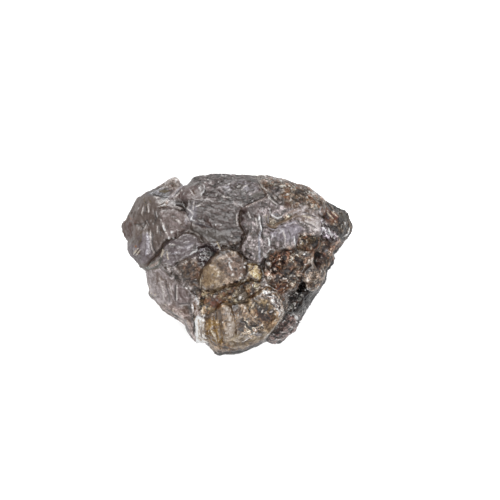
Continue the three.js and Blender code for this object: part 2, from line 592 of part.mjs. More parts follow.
function geometryOf(solid) {
  const { vertProperties, triVerts } = solid.getMesh();
  const geometry = new THREE.BufferGeometry();
  geometry.setAttribute("position", new THREE.BufferAttribute(vertProperties, 3));
  geometry.setIndex(new THREE.BufferAttribute(triVerts, 1));
  return geometry.toNonIndexed();
}

let stone = solidOf(blockGeometry());
const planes = [
  ...sidePlanes.map((p) => ({ ...p, reach: outlineReach(p.turn) })),
  ...underPlanes.map((p) => ({ ...p, height: 0 })),
];
for (const plane of planes) {
  for (const cube of cleavers(plane)) stone = stone.subtract(solidOf(cube));
}

const stoneGeometry = geometryOf(stone);
stoneGeometry.computeVertexNormals();
const crystal = new THREE.MeshStandardMaterial({ color: 0x8a8078, roughness: 0.25, metalness: 0 });
const mesh = new THREE.Mesh(stoneGeometry, crystal);
mesh.name = "rough_diamond";

const root = new THREE.Group();
root.add(mesh);
export default root;
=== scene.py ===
# %% [markdown]
# # A rough diamond
# The stone is one natural crystal, nine millimetres across: grey-lilac lamellae that overlap like
# shingles, a brown crust where iron got into the broken surface, and two amber lobes that light comes
# through. The solid model already has its outline, its ledges and its flat cleavage faces. This lesson
# gives it the skin of the real thing: relief down to a few hundredths of a millimetre, stains, and a
# lustre.

# %% Load the solid stone, which gives the size and the place of everything
import math

import bpy
import numpy as np
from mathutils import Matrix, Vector


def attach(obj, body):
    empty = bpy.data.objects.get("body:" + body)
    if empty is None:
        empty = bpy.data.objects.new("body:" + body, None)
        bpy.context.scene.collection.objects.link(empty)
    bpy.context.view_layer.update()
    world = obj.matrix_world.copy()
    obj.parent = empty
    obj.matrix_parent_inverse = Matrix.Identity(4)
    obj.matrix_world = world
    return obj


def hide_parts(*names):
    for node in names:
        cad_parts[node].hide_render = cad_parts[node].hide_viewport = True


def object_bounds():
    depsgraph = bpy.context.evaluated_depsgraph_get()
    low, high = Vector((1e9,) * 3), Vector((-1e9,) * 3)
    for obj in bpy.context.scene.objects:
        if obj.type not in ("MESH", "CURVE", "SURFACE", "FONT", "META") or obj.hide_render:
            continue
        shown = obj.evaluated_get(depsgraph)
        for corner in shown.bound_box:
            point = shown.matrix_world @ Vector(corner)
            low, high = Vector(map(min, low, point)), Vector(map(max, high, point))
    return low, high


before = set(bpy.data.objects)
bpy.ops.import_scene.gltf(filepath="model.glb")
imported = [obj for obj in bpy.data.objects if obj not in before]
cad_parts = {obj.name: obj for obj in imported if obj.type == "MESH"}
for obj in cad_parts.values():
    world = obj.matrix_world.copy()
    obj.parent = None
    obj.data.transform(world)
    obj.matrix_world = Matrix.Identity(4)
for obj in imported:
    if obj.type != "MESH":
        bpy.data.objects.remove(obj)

cad_low, cad_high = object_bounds()
MM = 0.001  # one millimetre, in Blender's metres
print("stone, in mm:", [round((b - a) / MM, 2) for a, b in zip(cad_low, cad_high)])

# %% [markdown]
# ## The skin starts as a copy of the solid
# The solid is made of flat triangles, a tenth to a third of a millimetre long. A finer skin could be
# modelled from nothing, but then every ledge would have to be found again. It is easier to copy the
# solid, join its loose triangles, and lay an even net of small squares over it with a voxel remesh,
# which leaves enough points for relief. In metres, those squares would be very small numbers and hard to
# read. So the copy is a thousand times larger while it is worked on, and one of Blender's units is one
# millimetre.

# %% Copy the solid and join its triangles
JOIN_WITHIN = 0.001  # corners this close are one point, in mm


def pick_only(piece):
    bpy.ops.object.select_all(action="DESELECT")
    piece.select_set(True)
    bpy.context.view_layer.objects.active = piece


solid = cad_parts["rough_diamond"]
skin = bpy.data.objects.new("diamond_skin", solid.data.copy())
bpy.context.scene.collection.objects.link(skin)
pick_only(skin)
bpy.ops.transform.resize(value=(1 / MM, 1 / MM, 1 / MM), center_override=(0, 0, 0))
bpy.ops.object.transform_apply(location=False, rotation=False, scale=True)
bpy.ops.object.mode_set(mode="EDIT")
bpy.ops.mesh.select_all(action="SELECT")
bpy.ops.mesh.remove_doubles(threshold=JOIN_WITHIN)
bpy.ops.object.mode_set(mode="OBJECT")
print("joined solid:", len(skin.data.vertices), "points")

# %% Lay the net over it and take the corners off the triangles
NET = 0.0345  # side of the net's squares, in mm
SMOOTHING = 0.5
SMOOTHING_ROUNDS = 2


def smooth_modifier(piece):
    relax = piece.modifiers.new("relax", "SMOOTH")
    relax.factor = SMOOTHING
    relax.iterations = SMOOTHING_ROUNDS
    return relax


def apply_modifiers(piece):
    pick_only(piece)
    for modifier in list(piece.modifiers):
        bpy.ops.object.modifier_apply(modifier=modifier.name)


net = skin.modifiers.new("net", "REMESH")
net.mode = "VOXEL"
net.voxel_size = NET
smooth_modifier(skin)
apply_modifiers(skin)
print("net:", len(skin.data.vertices), "points,", len(skin.data.polygons), "squares")

# %% [markdown]
# ## Fewer triangles where the stone is plainer
# The even net has more triangles than a part should have. The face needs them all, but the sides and the
# underside are plainer, so Decimate joins triangles there alone. It takes them first from flat cleavage
# planes, until nothing is left there to make relief from. So the hidden side is roughened a very little
# before, which spreads the loss, and is smoothed again afterwards.

# %% Thin the net on the sides and underneath
HIDDEN_BELOW = 1.7  # in mm; the face is higher than this
HIDDEN_TURN = -0.1  # and it doesn't point down by more than this
MOST_TRIANGLES = 196000
FIRST_ROUGHNESS = 0.006  # in mm


def read_vectors(piece, what):
    values = np.zeros(len(piece.data.vertices) * 3)
    piece.data.vertices.foreach_get(what, values)
    return values.reshape(-1, 3)


def triangle_count(piece):
    piece.data.calc_loop_triangles()
    return len(piece.data.loop_triangles)


spots, facing = read_vectors(skin, "co"), read_vectors(skin, "normal")
hidden = np.flatnonzero((spots[:, 2] < HIDDEN_BELOW) | (facing[:, 2] < HIDDEN_TURN))
rises = np.random.default_rng(17).normal(0, FIRST_ROUGHNESS, len(hidden))
spots[hidden] += facing[hidden] * rises[:, None]
skin.data.vertices.foreach_set("co", spots.ravel())
skin.vertex_groups.new(name="hidden").add(hidden.tolist(), 1.0, "REPLACE")
fewer = skin.modifiers.new("fewer", "DECIMATE")
fewer.ratio = MOST_TRIANGLES / triangle_count(skin)
fewer.vertex_group = "hidden"
smooth_modifier(skin).vertex_group = "hidden"
apply_modifiers(skin)
skin.vertex_groups.clear()
print("thinned net:", len(skin.data.vertices), "points,", triangle_count(skin), "triangles")

# %% [markdown]
# ## Tools for natural unevenness
# Nothing on a broken crystal repeats, so its relief and stains are worked out from noise: numbers that
# change smoothly from place to place. Two kinds are enough. Smooth noise gives swells and clouds. Cell
# noise cuts space into crumbs. It says how far a point is from the middle of its crumb and gives each
# crumb a number of its own, so one crumb can be dark and the next one white. Both are seeded, so the
# stone comes out the same every time.

# %% Smooth noise, for many points at once
TABLE = 32  # noise repeats after this many cells, which is too far apart to notice
SMOOTH_SHIFT, CELL_SHIFT = 7.3, 5.1  # so that the two kinds don't line up with each other, in cells
CORNERS = [(i, j, k) for i in (0, 1) for j in (0, 1) for k in (0, 1)]


def smooth_noise(points, size, seed):
    """Numbers from -1 to 1, with swells as large as size, in mm."""
    table = np.random.default_rng(seed).uniform(-1, 1, (TABLE, TABLE, TABLE))
    position = points / size + SMOOTH_SHIFT
    cell = np.floor(position).astype(int)
    part = position - cell
    part = part * part * (3 - 2 * part)
    total = np.zeros(len(points))
    for corner in CORNERS:
        share = np.prod(np.where(corner, part, 1 - part), axis=1)
        total += share * table[tuple(((cell + corner) % TABLE).T)]
    return total


def layered_noise(points, *layers):
    """Smooth noise of several sizes, added up. A layer is its weight, its size in mm and its seed."""
    return sum(weight * smooth_noise(points, size, seed) for weight, size, seed in layers)


# %% Cell noise, and two curves that shape what noise gives
def cell_noise(points, size, seed):
    """Distances to the nearest crumb's middle and to the next one, in cells, and the crumb's own number."""
    table = np.random.default_rng(seed).uniform(0, 1, (TABLE, TABLE, TABLE, 4))
    position = points / size + CELL_SHIFT
    cell = np.floor(position).astype(int)
    near = np.full(len(points), np.inf)
    second = near.copy()
    own = np.zeros(len(points))
    for step in np.ndindex(3, 3, 3):
        other = cell + np.array(step) - 1
        drawn = table[tuple((other % TABLE).T)]
        distance = np.linalg.norm(other + drawn[:, :3] - position, axis=1)
        nearer = distance < near
        second = np.where(nearer, near, np.minimum(second, distance))
        own = np.where(nearer, drawn[:, 3], own)
        near = np.where(nearer, distance, near)
    return near, second, own


def smoothstep(value, low, high):
    """0 below low and 1 above high, with an even curve between them."""
    t = np.clip((value - low) / (high - low), 0, 1)
    return t * t * (3 - 2 * t)


def ridge(value, width):
    """1 where the value is nought, and nearly nothing from two widths away."""
    return np.exp(-((value / width) ** 2))


# %% [markdown]
# ## Tools for drawing
# The face is drawn on the stone from above, as on a map. A place is a closed outline, and a crack is a
# line through a few points. For both, it is enough to know how far each point of the skin is from the
# line: everything else, such as soft edges, follows from that distance.

# %% Distances to lines and outlines drawn on the face, seen from above
def segment_distance(flat, start, end):
    start, end = np.array(start), np.array(end)
    along = end - start
    t = np.clip((flat - start) @ along / (along @ along), 0, 1)
    return np.linalg.norm(flat - start - t[:, None] * along, axis=1)


def line_distance(flat, line):
    return np.min([segment_distance(flat, a, b) for a, b in zip(line, line[1:])], axis=0)


def inside_distance(flat, outline):
    """How far a point is inside a closed outline; negative outside it."""
    x, y = flat.T
    closed = outline + outline[:1]
    inside = np.zeros(len(flat), bool)
    for (ax, ay), (bx, by) in zip(closed, closed[1:]):
        if ay != by:
            inside ^= ((ay > y) != (by > y)) & (x < ax + (y - ay) * (bx - ax) / (by - ay))
    distance = line_distance(flat, closed)
    return np.where(inside, distance, -distance)


# %% [markdown]
# ## The places of the face
# The face isn't one stone but many: each lamella, lobe and patch of crust has its own colour, its own
# roughness and its own grain. They are laid down one after another, as a painter lays colours, so a
# later place covers an earlier one. Coordinates are millimetres from the middle of the stone, x to its
# glossy tip and y to its long edge.
#
# A colour is red, green and blue from 0 to 255, as a screen shows them. The other numbers are:
# edge, how soft the outline is, in mm; grain, how much the brightness varies; crumb, how crumbly the
# place is; clear, from 0 for opaque crust to 1 for clear crystal; rust, how much the crumbs' colours
# differ; gloss, from dull to shiny; and streak, the direction of its grain, in degrees from x.

# %% What a place is
USUAL_FINISH = {"edge": 0.1, "crumb": 0.3, "clear": 0.3, "rust": 0.0, "gloss": 0.3, "streak": 30}


def place(name, color, grain, outline, **finish):
    return {**USUAL_FINISH, **finish, "name": name, "color": color, "grain": grain, "outline": outline}


PLACES = []

# %% Places of the west side and the ear
PLACES += [
    place("west flank", (103, 88, 81), grain=0.039, edge=0.2, crumb=0.1, streak=75, outline=[
        (-4.7, 1.5), (-4.1, 2.8), (-3.0, 3.1), (-3.0, 2.1), (-2.7, 1.2), (-3.0, 0.5), (-3.7, -0.2),
        (-4.4, 0.4)]),
    place("west corner", (81, 48, 33), grain=0.03, edge=0.15, crumb=0.05, streak=60, outline=[
        (-4.7, 1.6), (-4.2, 1.85), (-3.95, 1.6), (-3.95, 1.15), (-4.1, 0.95), (-4.6, 1.0)]),
    place("west lower facet", (117, 105, 109), grain=0.048, crumb=0.0, clear=0.4, streak=35, outline=[
        (-4.3, 0.85), (-3.95, 0.75), (-3.6, 1.15), (-3.28, 1.1), (-3.2, 0.55), (-3.4, 0.25), (-3.75, 0.0),
        (-4.3, 0.2)]),
    place("ear", (147, 133, 126), grain=0.143, edge=0.12, outline=[
        (-3.1, 3.1), (-2.5, 3.6), (-2.1, 3.4), (-2.1, 2.95), (-2.5, 2.75), (-2.8, 2.95)]),
    place("ear shadow", (95, 92, 96), grain=0.194, crumb=0.1, streak=20, outline=[
        (-3.5, 2.85), (-2.9, 3.0), (-2.5, 2.85), (-2.3, 2.6), (-2.9, 2.6), (-3.5, 2.65)]),
    place("shoulder", (118, 101, 98), grain=0.092, edge=0.15, crumb=0.5, outline=[
        (-3.0, 2.1), (-2.5, 2.25), (-2.1, 2.1), (-1.85, 1.85), (-1.8, 1.55), (-2.2, 1.15), (-2.7, 0.95),
        (-2.85, 1.5)]),
    place("saddle", (106, 87, 84), grain=0.07, edge=0.15, streak=110, outline=[
        (-2.6, 2.8), (-2.1, 3.05), (-1.6, 3.1), (-1.3, 2.9), (-1.4, 2.55), (-2.0, 2.5), (-2.5, 2.5)]),
]

# %% Places of the north and the middle
PLACES += [
    place("north block", (85, 72, 70), grain=0.2, edge=0.15, crumb=0.4, outline=[
        (-1.85, 3.2), (-1.5, 3.7), (0.75, 3.7), (0.85, 3.1), (1.2, 2.65), (0.7, 2.4), (-0.5, 2.4),
        (-1.3, 2.5), (-1.4, 2.9)]),
    place("north shelf", (120, 113, 119), grain=0.17, edge=0.12, streak=25, outline=[
        (-0.7, 2.95), (-0.3, 3.2), (0.5, 3.2), (0.8, 2.95), (0.3, 2.7), (-0.3, 2.75)]),
    place("crumbled band", (104, 97, 103), grain=0.094, edge=0.12, crumb=0.7, clear=0.2, streak=100,
          outline=[
        (-1.95, 2.45), (-1.5, 2.45), (-1.4, 2.15), (-1.5, 1.7), (-1.75, 1.65), (-1.95, 2.0)]),
    place("middle plate", (67, 48, 43), grain=0.1, edge=0.15, crumb=0.25, clear=0.35, streak=-25, outline=[
        (-1.5, 2.35), (-0.5, 2.45), (0.1, 2.3), (0.05, 1.8), (0.25, 1.3), (0.2, 0.95), (-0.3, 0.8),
        (-0.9, 1.0), (-1.6, 1.4)]),
    place("middle smooth", (66, 54, 46), grain=0.03, edge=0.15, crumb=0.0, clear=0.35, streak=-30, outline=[
        (-1.85, 1.5), (-1.2, 1.35), (-0.6, 1.3), (-0.2, 1.1), (-0.5, 0.75), (-1.0, 0.85), (-1.4, 1.05),
        (-1.75, 1.3)]),
]

# %% Places of the south west
PLACES += [
    place("west lamella", (104, 91, 93), grain=0.03, edge=0.08, crumb=0.0, clear=0.4, gloss=0.5, streak=28,
          outline=[
        (-2.8, 0.8), (-2.3, 1.02), (-1.9, 1.2), (-1.6, 1.08), (-1.4, 0.85), (-1.55, 0.5), (-1.9, 0.25),
        (-2.5, 0.0), (-2.9, 0.1)]),
    place("west step", (102, 102, 94), grain=0.12, edge=0.08, crumb=0.0, clear=0.4, streak=25, outline=[
        (-3.6, -0.25), (-2.95, -0.05), (-2.85, 0.25), (-3.05, 0.25), (-3.4, 0.05)]),
    place("south west slope", (154, 141, 140), grain=0.075, edge=0.12, crumb=0.02, clear=0.4, streak=-70,
          outline=[
        (-3.6, -0.2), (-2.9, -0.1), (-2.4, -0.55), (-2.0, -0.9), (-1.8, -1.3), (-2.0, -2.0), (-2.6, -1.9),
        (-3.3, -1.5), (-3.6, -0.8)]),
    place("south west panel", (114, 96, 94), grain=0.059, edge=0.08, crumb=0.02, clear=0.4, streak=-80,
          outline=[
        (-2.38, -0.7), (-1.95, -0.8), (-1.75, -1.2), (-1.8, -1.55), (-2.15, -1.55), (-2.36, -1.3)]),
    place("south west skirt", (152, 129, 121), grain=0.149, edge=0.12, crumb=0.1, clear=0.4, streak=-40,
          outline=[
        (-3.3, -1.4), (-2.7, -1.6), (-2.0, -1.7), (-1.75, -2.0), (-1.62, -2.3), (-1.62, -3.2), (-2.2, -2.8),
        (-3.4, -1.7)]),
    place("pitted patch", (84, 57, 36), grain=0.242, edge=0.15, crumb=0.6, clear=0.15, rust=0.3, outline=[
        (-2.1, 0.1), (-1.5, 0.25), (-1.35, 0.0), (-1.4, -0.6), (-1.5, -1.0), (-1.8, -0.9), (-2.1, -0.5),
        (-2.2, -0.2)]),
    place("pitted edge", (106, 94, 90), grain=0.227, edge=0.15, crumb=0.5, clear=0.2, outline=[
        (-2.4, -0.4), (-2.0, -0.5), (-1.6, -0.9), (-1.4, -1.2), (-1.7, -1.2), (-2.1, -0.85)]),
    place("sparkling patch", (55, 36, 38), grain=0.06, edge=0.12, crumb=0.9, gloss=0.8, outline=[
        (-1.55, 0.7), (-1.1, 0.85), (-0.8, 0.9), (-0.6, 0.6), (-0.85, 0.3), (-1.05, 0.05), (-1.45, 0.0)]),
]

# %% Places of the north east and the glossy tip
PLACES += [
    place("north east crust", (109, 85, 64), grain=0.223, edge=0.2, crumb=0.9, clear=0.1, rust=0.55,
          streak=-25, outline=[
        (0.75, 3.7), (1.6, 3.6), (2.9, 3.2), (3.8, 2.5), (3.4, 2.1), (2.8, 2.2), (2.0, 2.4), (1.5, 2.55),
        (1.2, 2.75), (0.9, 3.1)]),
    place("crust edge", (123, 107, 97), grain=0.178, crumb=0.5, clear=0.15, rust=0.35, streak=-20, outline=[
        (0.65, 3.6), (1.3, 3.6), (2.6, 3.3), (3.5, 2.6), (3.3, 2.5), (2.4, 2.98), (1.5, 3.2), (1.0, 3.2),
        (0.9, 3.0)]),
    place("grey window in the crust", (76, 64, 61), grain=0.236, edge=0.12, crumb=0.6, clear=0.2, rust=0.2,
          outline=[
        (1.2, 3.0), (1.6, 3.05), (1.8, 2.8), (1.6, 2.55), (1.25, 2.7)]),
    place("orange hollow", (82, 44, 8), grain=0.141, edge=0.08, crumb=0.4, clear=0.2, rust=0.6, outline=[
        (1.75, 2.4), (2.1, 2.42), (2.35, 2.3), (2.25, 2.12), (1.9, 2.1)]),
    place("east lamella", (115, 101, 101), grain=0.206, crumb=0.1, clear=0.35, streak=85, outline=[
        (0.15, 1.9), (0.2, 2.2), (0.6, 2.4), (1.1, 2.5), (1.4, 2.4), (1.8, 2.2), (2.5, 2.15), (3.0, 2.1),
        (3.3, 1.7), (3.1, 1.1), (2.5, 1.15), (2.2, 0.7), (1.7, 0.75), (1.2, 0.5), (0.9, 0.05), (0.5, 0.3),
        (0.15, 0.6), (0.3, 0.95), (0.42, 1.2), (0.2, 1.5)]),
    place("grey west end", (70, 51, 47), grain=0.053, crumb=0.1, clear=0.35, streak=60, outline=[
        (0.15, 2.15), (0.6, 2.35), (0.85, 2.2), (0.75, 1.8), (0.5, 1.6), (0.2, 1.65)]),
    place("lilac bowl", (124, 114, 123), grain=0.07, edge=0.08, crumb=0.0, clear=0.4, gloss=0.5, streak=60,
          outline=[
        (1.3, 1.3), (1.7, 1.4), (2.1, 1.6), (2.35, 1.55), (2.5, 1.2), (2.25, 0.85), (1.8, 0.85),
        (1.4, 1.0)]),
    place("shelf channel", (114, 96, 72), grain=0.341, edge=0.06, crumb=0.2, clear=0.25, rust=0.25,
          outline=[
        (1.1, 1.9), (1.25, 1.95), (1.5, 1.68), (1.9, 1.9), (2.2, 1.95), (2.15, 1.8), (1.8, 1.62),
        (1.45, 1.38), (1.15, 1.45)]),
    place("curved shelf", (184, 172, 171), grain=0.084, edge=0.08, crumb=0.1, clear=0.35, streak=-35,
          outline=[
        (2.0, 2.0), (2.5, 2.2), (2.9, 2.1), (3.25, 1.7), (3.3, 1.2), (3.0, 1.2), (2.8, 1.5), (2.4, 1.7),
        (2.2, 1.85)]),
    place("brown crust patch", (100, 60, 20), grain=0.6, crumb=1.0, clear=0.05, rust=0.9, outline=[
        (2.25, 0.75), (2.45, 1.15), (2.9, 1.15), (3.2, 0.95), (3.3, 0.65), (3.0, 0.5), (2.6, 0.6)]),
    place("tip", (62, 43, 24), grain=0.5, edge=0.12, crumb=0.6, clear=0.25, gloss=0.5, streak=-40, outline=[
        (3.5, 2.4), (4.2, 2.2), (4.7, 1.5), (4.3, 0.9), (3.9, 0.9), (3.75, 1.3), (3.6, 1.8)]),
    place("orange streaks", (106, 52, 14), grain=0.136, edge=0.08, crumb=0.6, clear=0.15, rust=0.6,
          streak=-50, outline=[
        (3.25, 2.1), (3.5, 2.2), (3.95, 1.85), (3.85, 1.55), (3.6, 1.6), (3.35, 1.85)]),
    place("glinting steps", (135, 116, 131), grain=0.45, edge=0.08, crumb=0.4, clear=0.4, gloss=0.9,
          streak=-60, outline=[
        (3.2, 1.7), (3.45, 1.7), (3.8, 1.2), (3.85, 0.85), (3.5, 0.9), (3.2, 1.2)]),
    place("east rim", (106, 66, 38), grain=0.36, crumb=0.4, clear=0.25, rust=0.3, outline=[
        (3.2, 0.85), (3.9, 0.95), (4.2, 0.8), (3.8, 0.4), (3.3, 0.45)]),
]

# %% Places of the crust, its cavity and the dark window
PLACES += [
    place("crust", (82, 55, 32), grain=0.38, edge=0.12, crumb=1.0, clear=0.08, rust=0.7, outline=[
        (1.05, 0.1), (1.3, 0.5), (1.9, 0.65), (2.6, 0.55), (3.3, 0.5), (4.0, 0.4), (3.8, -0.2),
        (3.3, -0.95), (2.7, -0.9), (2.5, -0.5), (2.2, -0.95), (1.7, -1.1), (1.2, -0.8), (1.0, -0.3)]),
    place("cavity", (100, 62, 37), grain=0.44, crumb=1.0, clear=0.05, rust=0.75, outline=[
        (1.25, 0.1), (1.4, 0.45), (1.8, 0.45), (2.0, 0.1), (1.8, -0.3), (1.7, -0.8), (1.9, -1.0),
        (1.6, -1.05), (1.35, -0.75), (1.15, -0.35)]),
    place("east pit", (48, 23, 9), grain=0.253, edge=0.08, crumb=0.8, clear=0.05, rust=0.7, outline=[
        (2.95, 0.45), (3.3, 0.42), (3.45, 0.2), (3.2, -0.1), (3.0, -0.2), (2.93, 0.1)]),
    place("orange foot", (94, 44, 8), grain=0.25, crumb=0.8, clear=0.1, rust=0.6, outline=[
        (1.4, -0.72), (1.9, -0.72), (2.05, -0.95), (1.8, -1.08), (1.5, -1.0)]),
    place("golden crust", (60, 36, 8), grain=0.281, edge=0.12, crumb=0.8, clear=0.1, rust=0.5, outline=[
        (2.4, 0.7), (2.5, 1.0), (2.75, 1.05), (3.05, 0.95), (3.15, 0.6), (2.8, 0.62)]),
    place("mound", (114, 92, 73), grain=0.304, edge=0.12, crumb=0.5, clear=0.25, rust=0.25, outline=[
        (2.25, -0.25), (2.6, 0.0), (2.72, 0.42), (2.93, 0.38), (2.95, -0.1), (3.5, -0.2), (3.45, -0.6),
        (3.1, -0.88), (2.8, -1.0), (2.68, -0.75), (2.5, -0.45)]),
    place("dark window", (31, 19, 10), grain=0.418, crumb=0.8, clear=0.2, gloss=0.7, outline=[
        (2.5, -0.45), (2.7, -0.85), (2.9, -1.0), (3.4, -0.9), (3.1, -1.6), (2.6, -2.2), (2.4, -1.95),
        (1.9, -1.95), (1.85, -1.6), (2.0, -1.2), (2.3, -0.9)]),
    place("south east lobe", (83, 53, 44), grain=0.531, edge=0.08, crumb=0.4, clear=0.35, gloss=0.5,
          streak=20, outline=[
        (1.85, -1.95), (2.4, -1.95), (2.7, -2.1), (2.4, -2.8), (1.6, -3.3), (1.0, -3.1), (1.2, -2.8),
        (1.6, -2.35)]),
]

# %% Places of the valley and the upper lobe
PLACES += [
    place("rubble valley", (120, 90, 52), grain=0.291, crumb=1.0, clear=0.15, rust=0.5, outline=[
        (-1.5, -1.0), (-1.2, -0.95), (-0.8, -0.85), (-0.2, -0.7), (0.4, -0.5), (0.9, -0.65), (1.0, -1.0),
        (0.75, -1.3), (0.3, -1.55), (-0.3, -1.5), (-0.7, -1.75), (-1.3, -1.9), (-1.5, -1.6)]),
    place("orange stain", (92, 46, 8), grain=0.074, crumb=0.8, clear=0.2, rust=0.6, outline=[
        (-1.15, -1.15), (-0.8, -1.15), (-0.5, -1.4), (-0.6, -1.7), (-1.05, -1.6)]),
    place("grey rubble", (110, 96, 82), grain=0.239, crumb=0.8, clear=0.2, gloss=0.6, outline=[
        (0.0, -0.85), (0.35, -0.8), (0.5, -1.1), (0.35, -1.5), (0.1, -1.45), (-0.05, -1.1)]),
    place("upper lobe", (112, 87, 64), grain=0.2, edge=0.08, clear=0.4, rust=0.15, outline=[
        (-0.85, 0.35), (-0.6, 0.6), (-0.3, 0.65), (0.05, 0.5), (0.3, 0.2), (0.35, -0.1), (0.2, -0.5),
        (0.0, -0.68), (-0.5, -0.8), (-1.0, -0.95), (-1.3, -0.9), (-1.42, -0.55), (-1.3, -0.15),
        (-1.0, 0.15)]),
    place("amber side", (153, 124, 84), grain=0.089, edge=0.15, crumb=0.35, clear=0.55, outline=[
        (-1.3, -0.1), (-0.7, 0.1), (-0.55, -0.3), (-0.6, -0.8), (-1.1, -0.9), (-1.4, -0.6)]),
    place("pink side", (118, 92, 76), grain=0.147, edge=0.12, crumb=0.5, outline=[
        (-0.5, 0.4), (0.0, 0.35), (0.3, 0.1), (0.3, -0.3), (0.0, -0.6), (-0.4, -0.4)]),
    place("honey facet", (196, 166, 112), grain=0.149, edge=0.06, clear=0.6, gloss=0.7, outline=[
        (0.35, 0.1), (0.8, 0.05), (0.95, -0.35), (0.85, -0.65), (0.6, -0.55), (0.4, -0.35)]),
]

# %% Places of the lower lobe and the white facet
PLACES += [
    place("lower lobe", (124, 92, 56), grain=0.203, crumb=0.06, clear=0.5, gloss=0.5, streak=60, outline=[
        (-1.15, -2.0), (-0.8, -1.75), (-0.5, -1.45), (0.3, -1.55), (0.75, -1.15), (1.2, -0.85),
        (1.6, -1.05), (1.85, -1.5), (1.8, -1.95), (1.5, -2.45), (1.08, -2.9), (0.6, -3.4), (-0.7, -3.7),
        (-1.15, -3.0)]),
    place("olive glass", (90, 66, 28), grain=0.34, edge=0.15, crumb=0.35, clear=0.25, streak=-45, outline=[
        (0.35, -1.5), (0.75, -1.3), (1.2, -1.35), (1.45, -1.6), (1.4, -1.85), (1.0, -1.75), (0.5, -1.75)]),
    place("lobe brown", (74, 42, 8), grain=0.36, edge=0.15, crumb=0.6, clear=0.1, rust=0.4, outline=[
        (0.6, -1.65), (1.0, -1.7), (1.4, -1.85), (1.3, -2.2), (1.05, -2.3), (0.7, -2.0)]),
    place("pale glass", (139, 118, 88), grain=0.108, edge=0.15, crumb=0.05, clear=0.5, gloss=0.5, streak=35,
          outline=[
        (0.0, -2.55), (0.5, -2.7), (1.0, -2.6), (1.3, -2.4), (1.1, -2.75), (0.6, -3.0), (0.05, -3.15),
        (-0.4, -3.05)]),
    place("lobe specks", (110, 86, 58), grain=0.5, rust=0.4, outline=[
        (0.1, -2.1), (0.5, -2.1), (1.1, -2.3), (1.0, -2.6), (0.5, -2.8), (0.2, -2.5)]),
    # lobe shine is a painted sheen along the lower lobe's rim, where it turns to the light
    place("lobe shine", (144, 120, 109), grain=0.48, crumb=0.2, clear=0.5, gloss=0.8, streak=-60, outline=[
        (1.0, -1.0), (1.5, -1.15), (1.75, -1.5), (1.78, -1.9), (1.6, -2.0), (1.5, -1.6), (1.2, -1.3),
        (0.95, -1.2)]),
    place("blade", (180, 164, 149), grain=0.042, edge=0.08, crumb=0.05, clear=0.5, gloss=0.7, streak=95,
          outline=[
        (-0.45, -1.6), (-0.25, -1.6), (-0.2, -2.1), (-0.05, -2.2), (-0.1, -2.7), (-0.35, -2.9),
        (-0.5, -2.8), (-0.5, -2.5), (-0.35, -2.2)]),
    place("amber strip", (149, 112, 52), grain=0.09, crumb=0.05, clear=0.6, gloss=0.7, streak=100, outline=[
        (-1.15, -2.1), (-0.85, -2.0), (-0.6, -2.4), (-0.5, -3.0), (-0.8, -3.1), (-1.1, -2.9)]),
    place("dark hem", (40, 22, 12), grain=0.7, clear=0.15, streak=10, outline=[
        (-0.9, -3.25), (0.1, -3.28), (0.9, -3.0), (1.0, -3.2), (0.2, -3.6), (-0.8, -3.8)]),
    # the white facet is a painted highlight: a facet that mirrors the lamps, stored as white in the stain
    place("white facet", (255, 255, 255), grain=0.12, edge=0.05, clear=0, gloss=0.9, streak=95, outline=[
        (-1.6, -2.05), (-1.35, -1.95), (-1.2, -2.2), (-1.2, -2.7), (-1.1, -3.05), (-1.6, -3.1)]),
    place("white facet head", (206, 192, 188), grain=0.129, edge=0.06, crumb=0.5, clear=0.1, outline=[
        (-1.72, -1.35), (-1.55, -1.2), (-1.45, -1.55), (-1.4, -1.9), (-1.6, -1.95), (-1.78, -1.7)]),
]
print(len(PLACES), "places")

# %% [markdown]
# ## Cracks, ridges and glints
# What catches the eye on the face is thin: brown cracks between lamellae, painted shadow beside broken
# ledges, painted highlights on the edges where a ledge turns to the light, and white marks that are partly
# frosted, bruised chips and partly painted glints. Each is a stroke along a line of points, or a dot. They
# could be left to noise, but the eye knows a face by its lines, so they are drawn one by one. Dark ones will
# be cut into the skin and light ones raised, so they also show from the side.

# %% Colours of the strokes and dots
# dark marks are cracks, holes and painted shadow; light ones are painted highlights, glints and frosted
# chips
BROWN, DARK, BLACK, SHADE = (84, 60, 42), (58, 50, 46), (24, 18, 16), (84, 76, 74)
PALE, WHITE, LILAC, CREAM = (218, 210, 205), (255, 255, 255), (190, 184, 191), (234, 220, 196)
OLIVE, ORANGE, RED_BROWN, PINK = (100, 84, 56), (144, 86, 40), (84, 44, 30), (178, 158, 149)
FINE = 0.8 * NET  # half the width of the finest strokes; thinner ones would fall between the points
STROKES = []  # each is a colour, half its width in mm, and the points it runs through

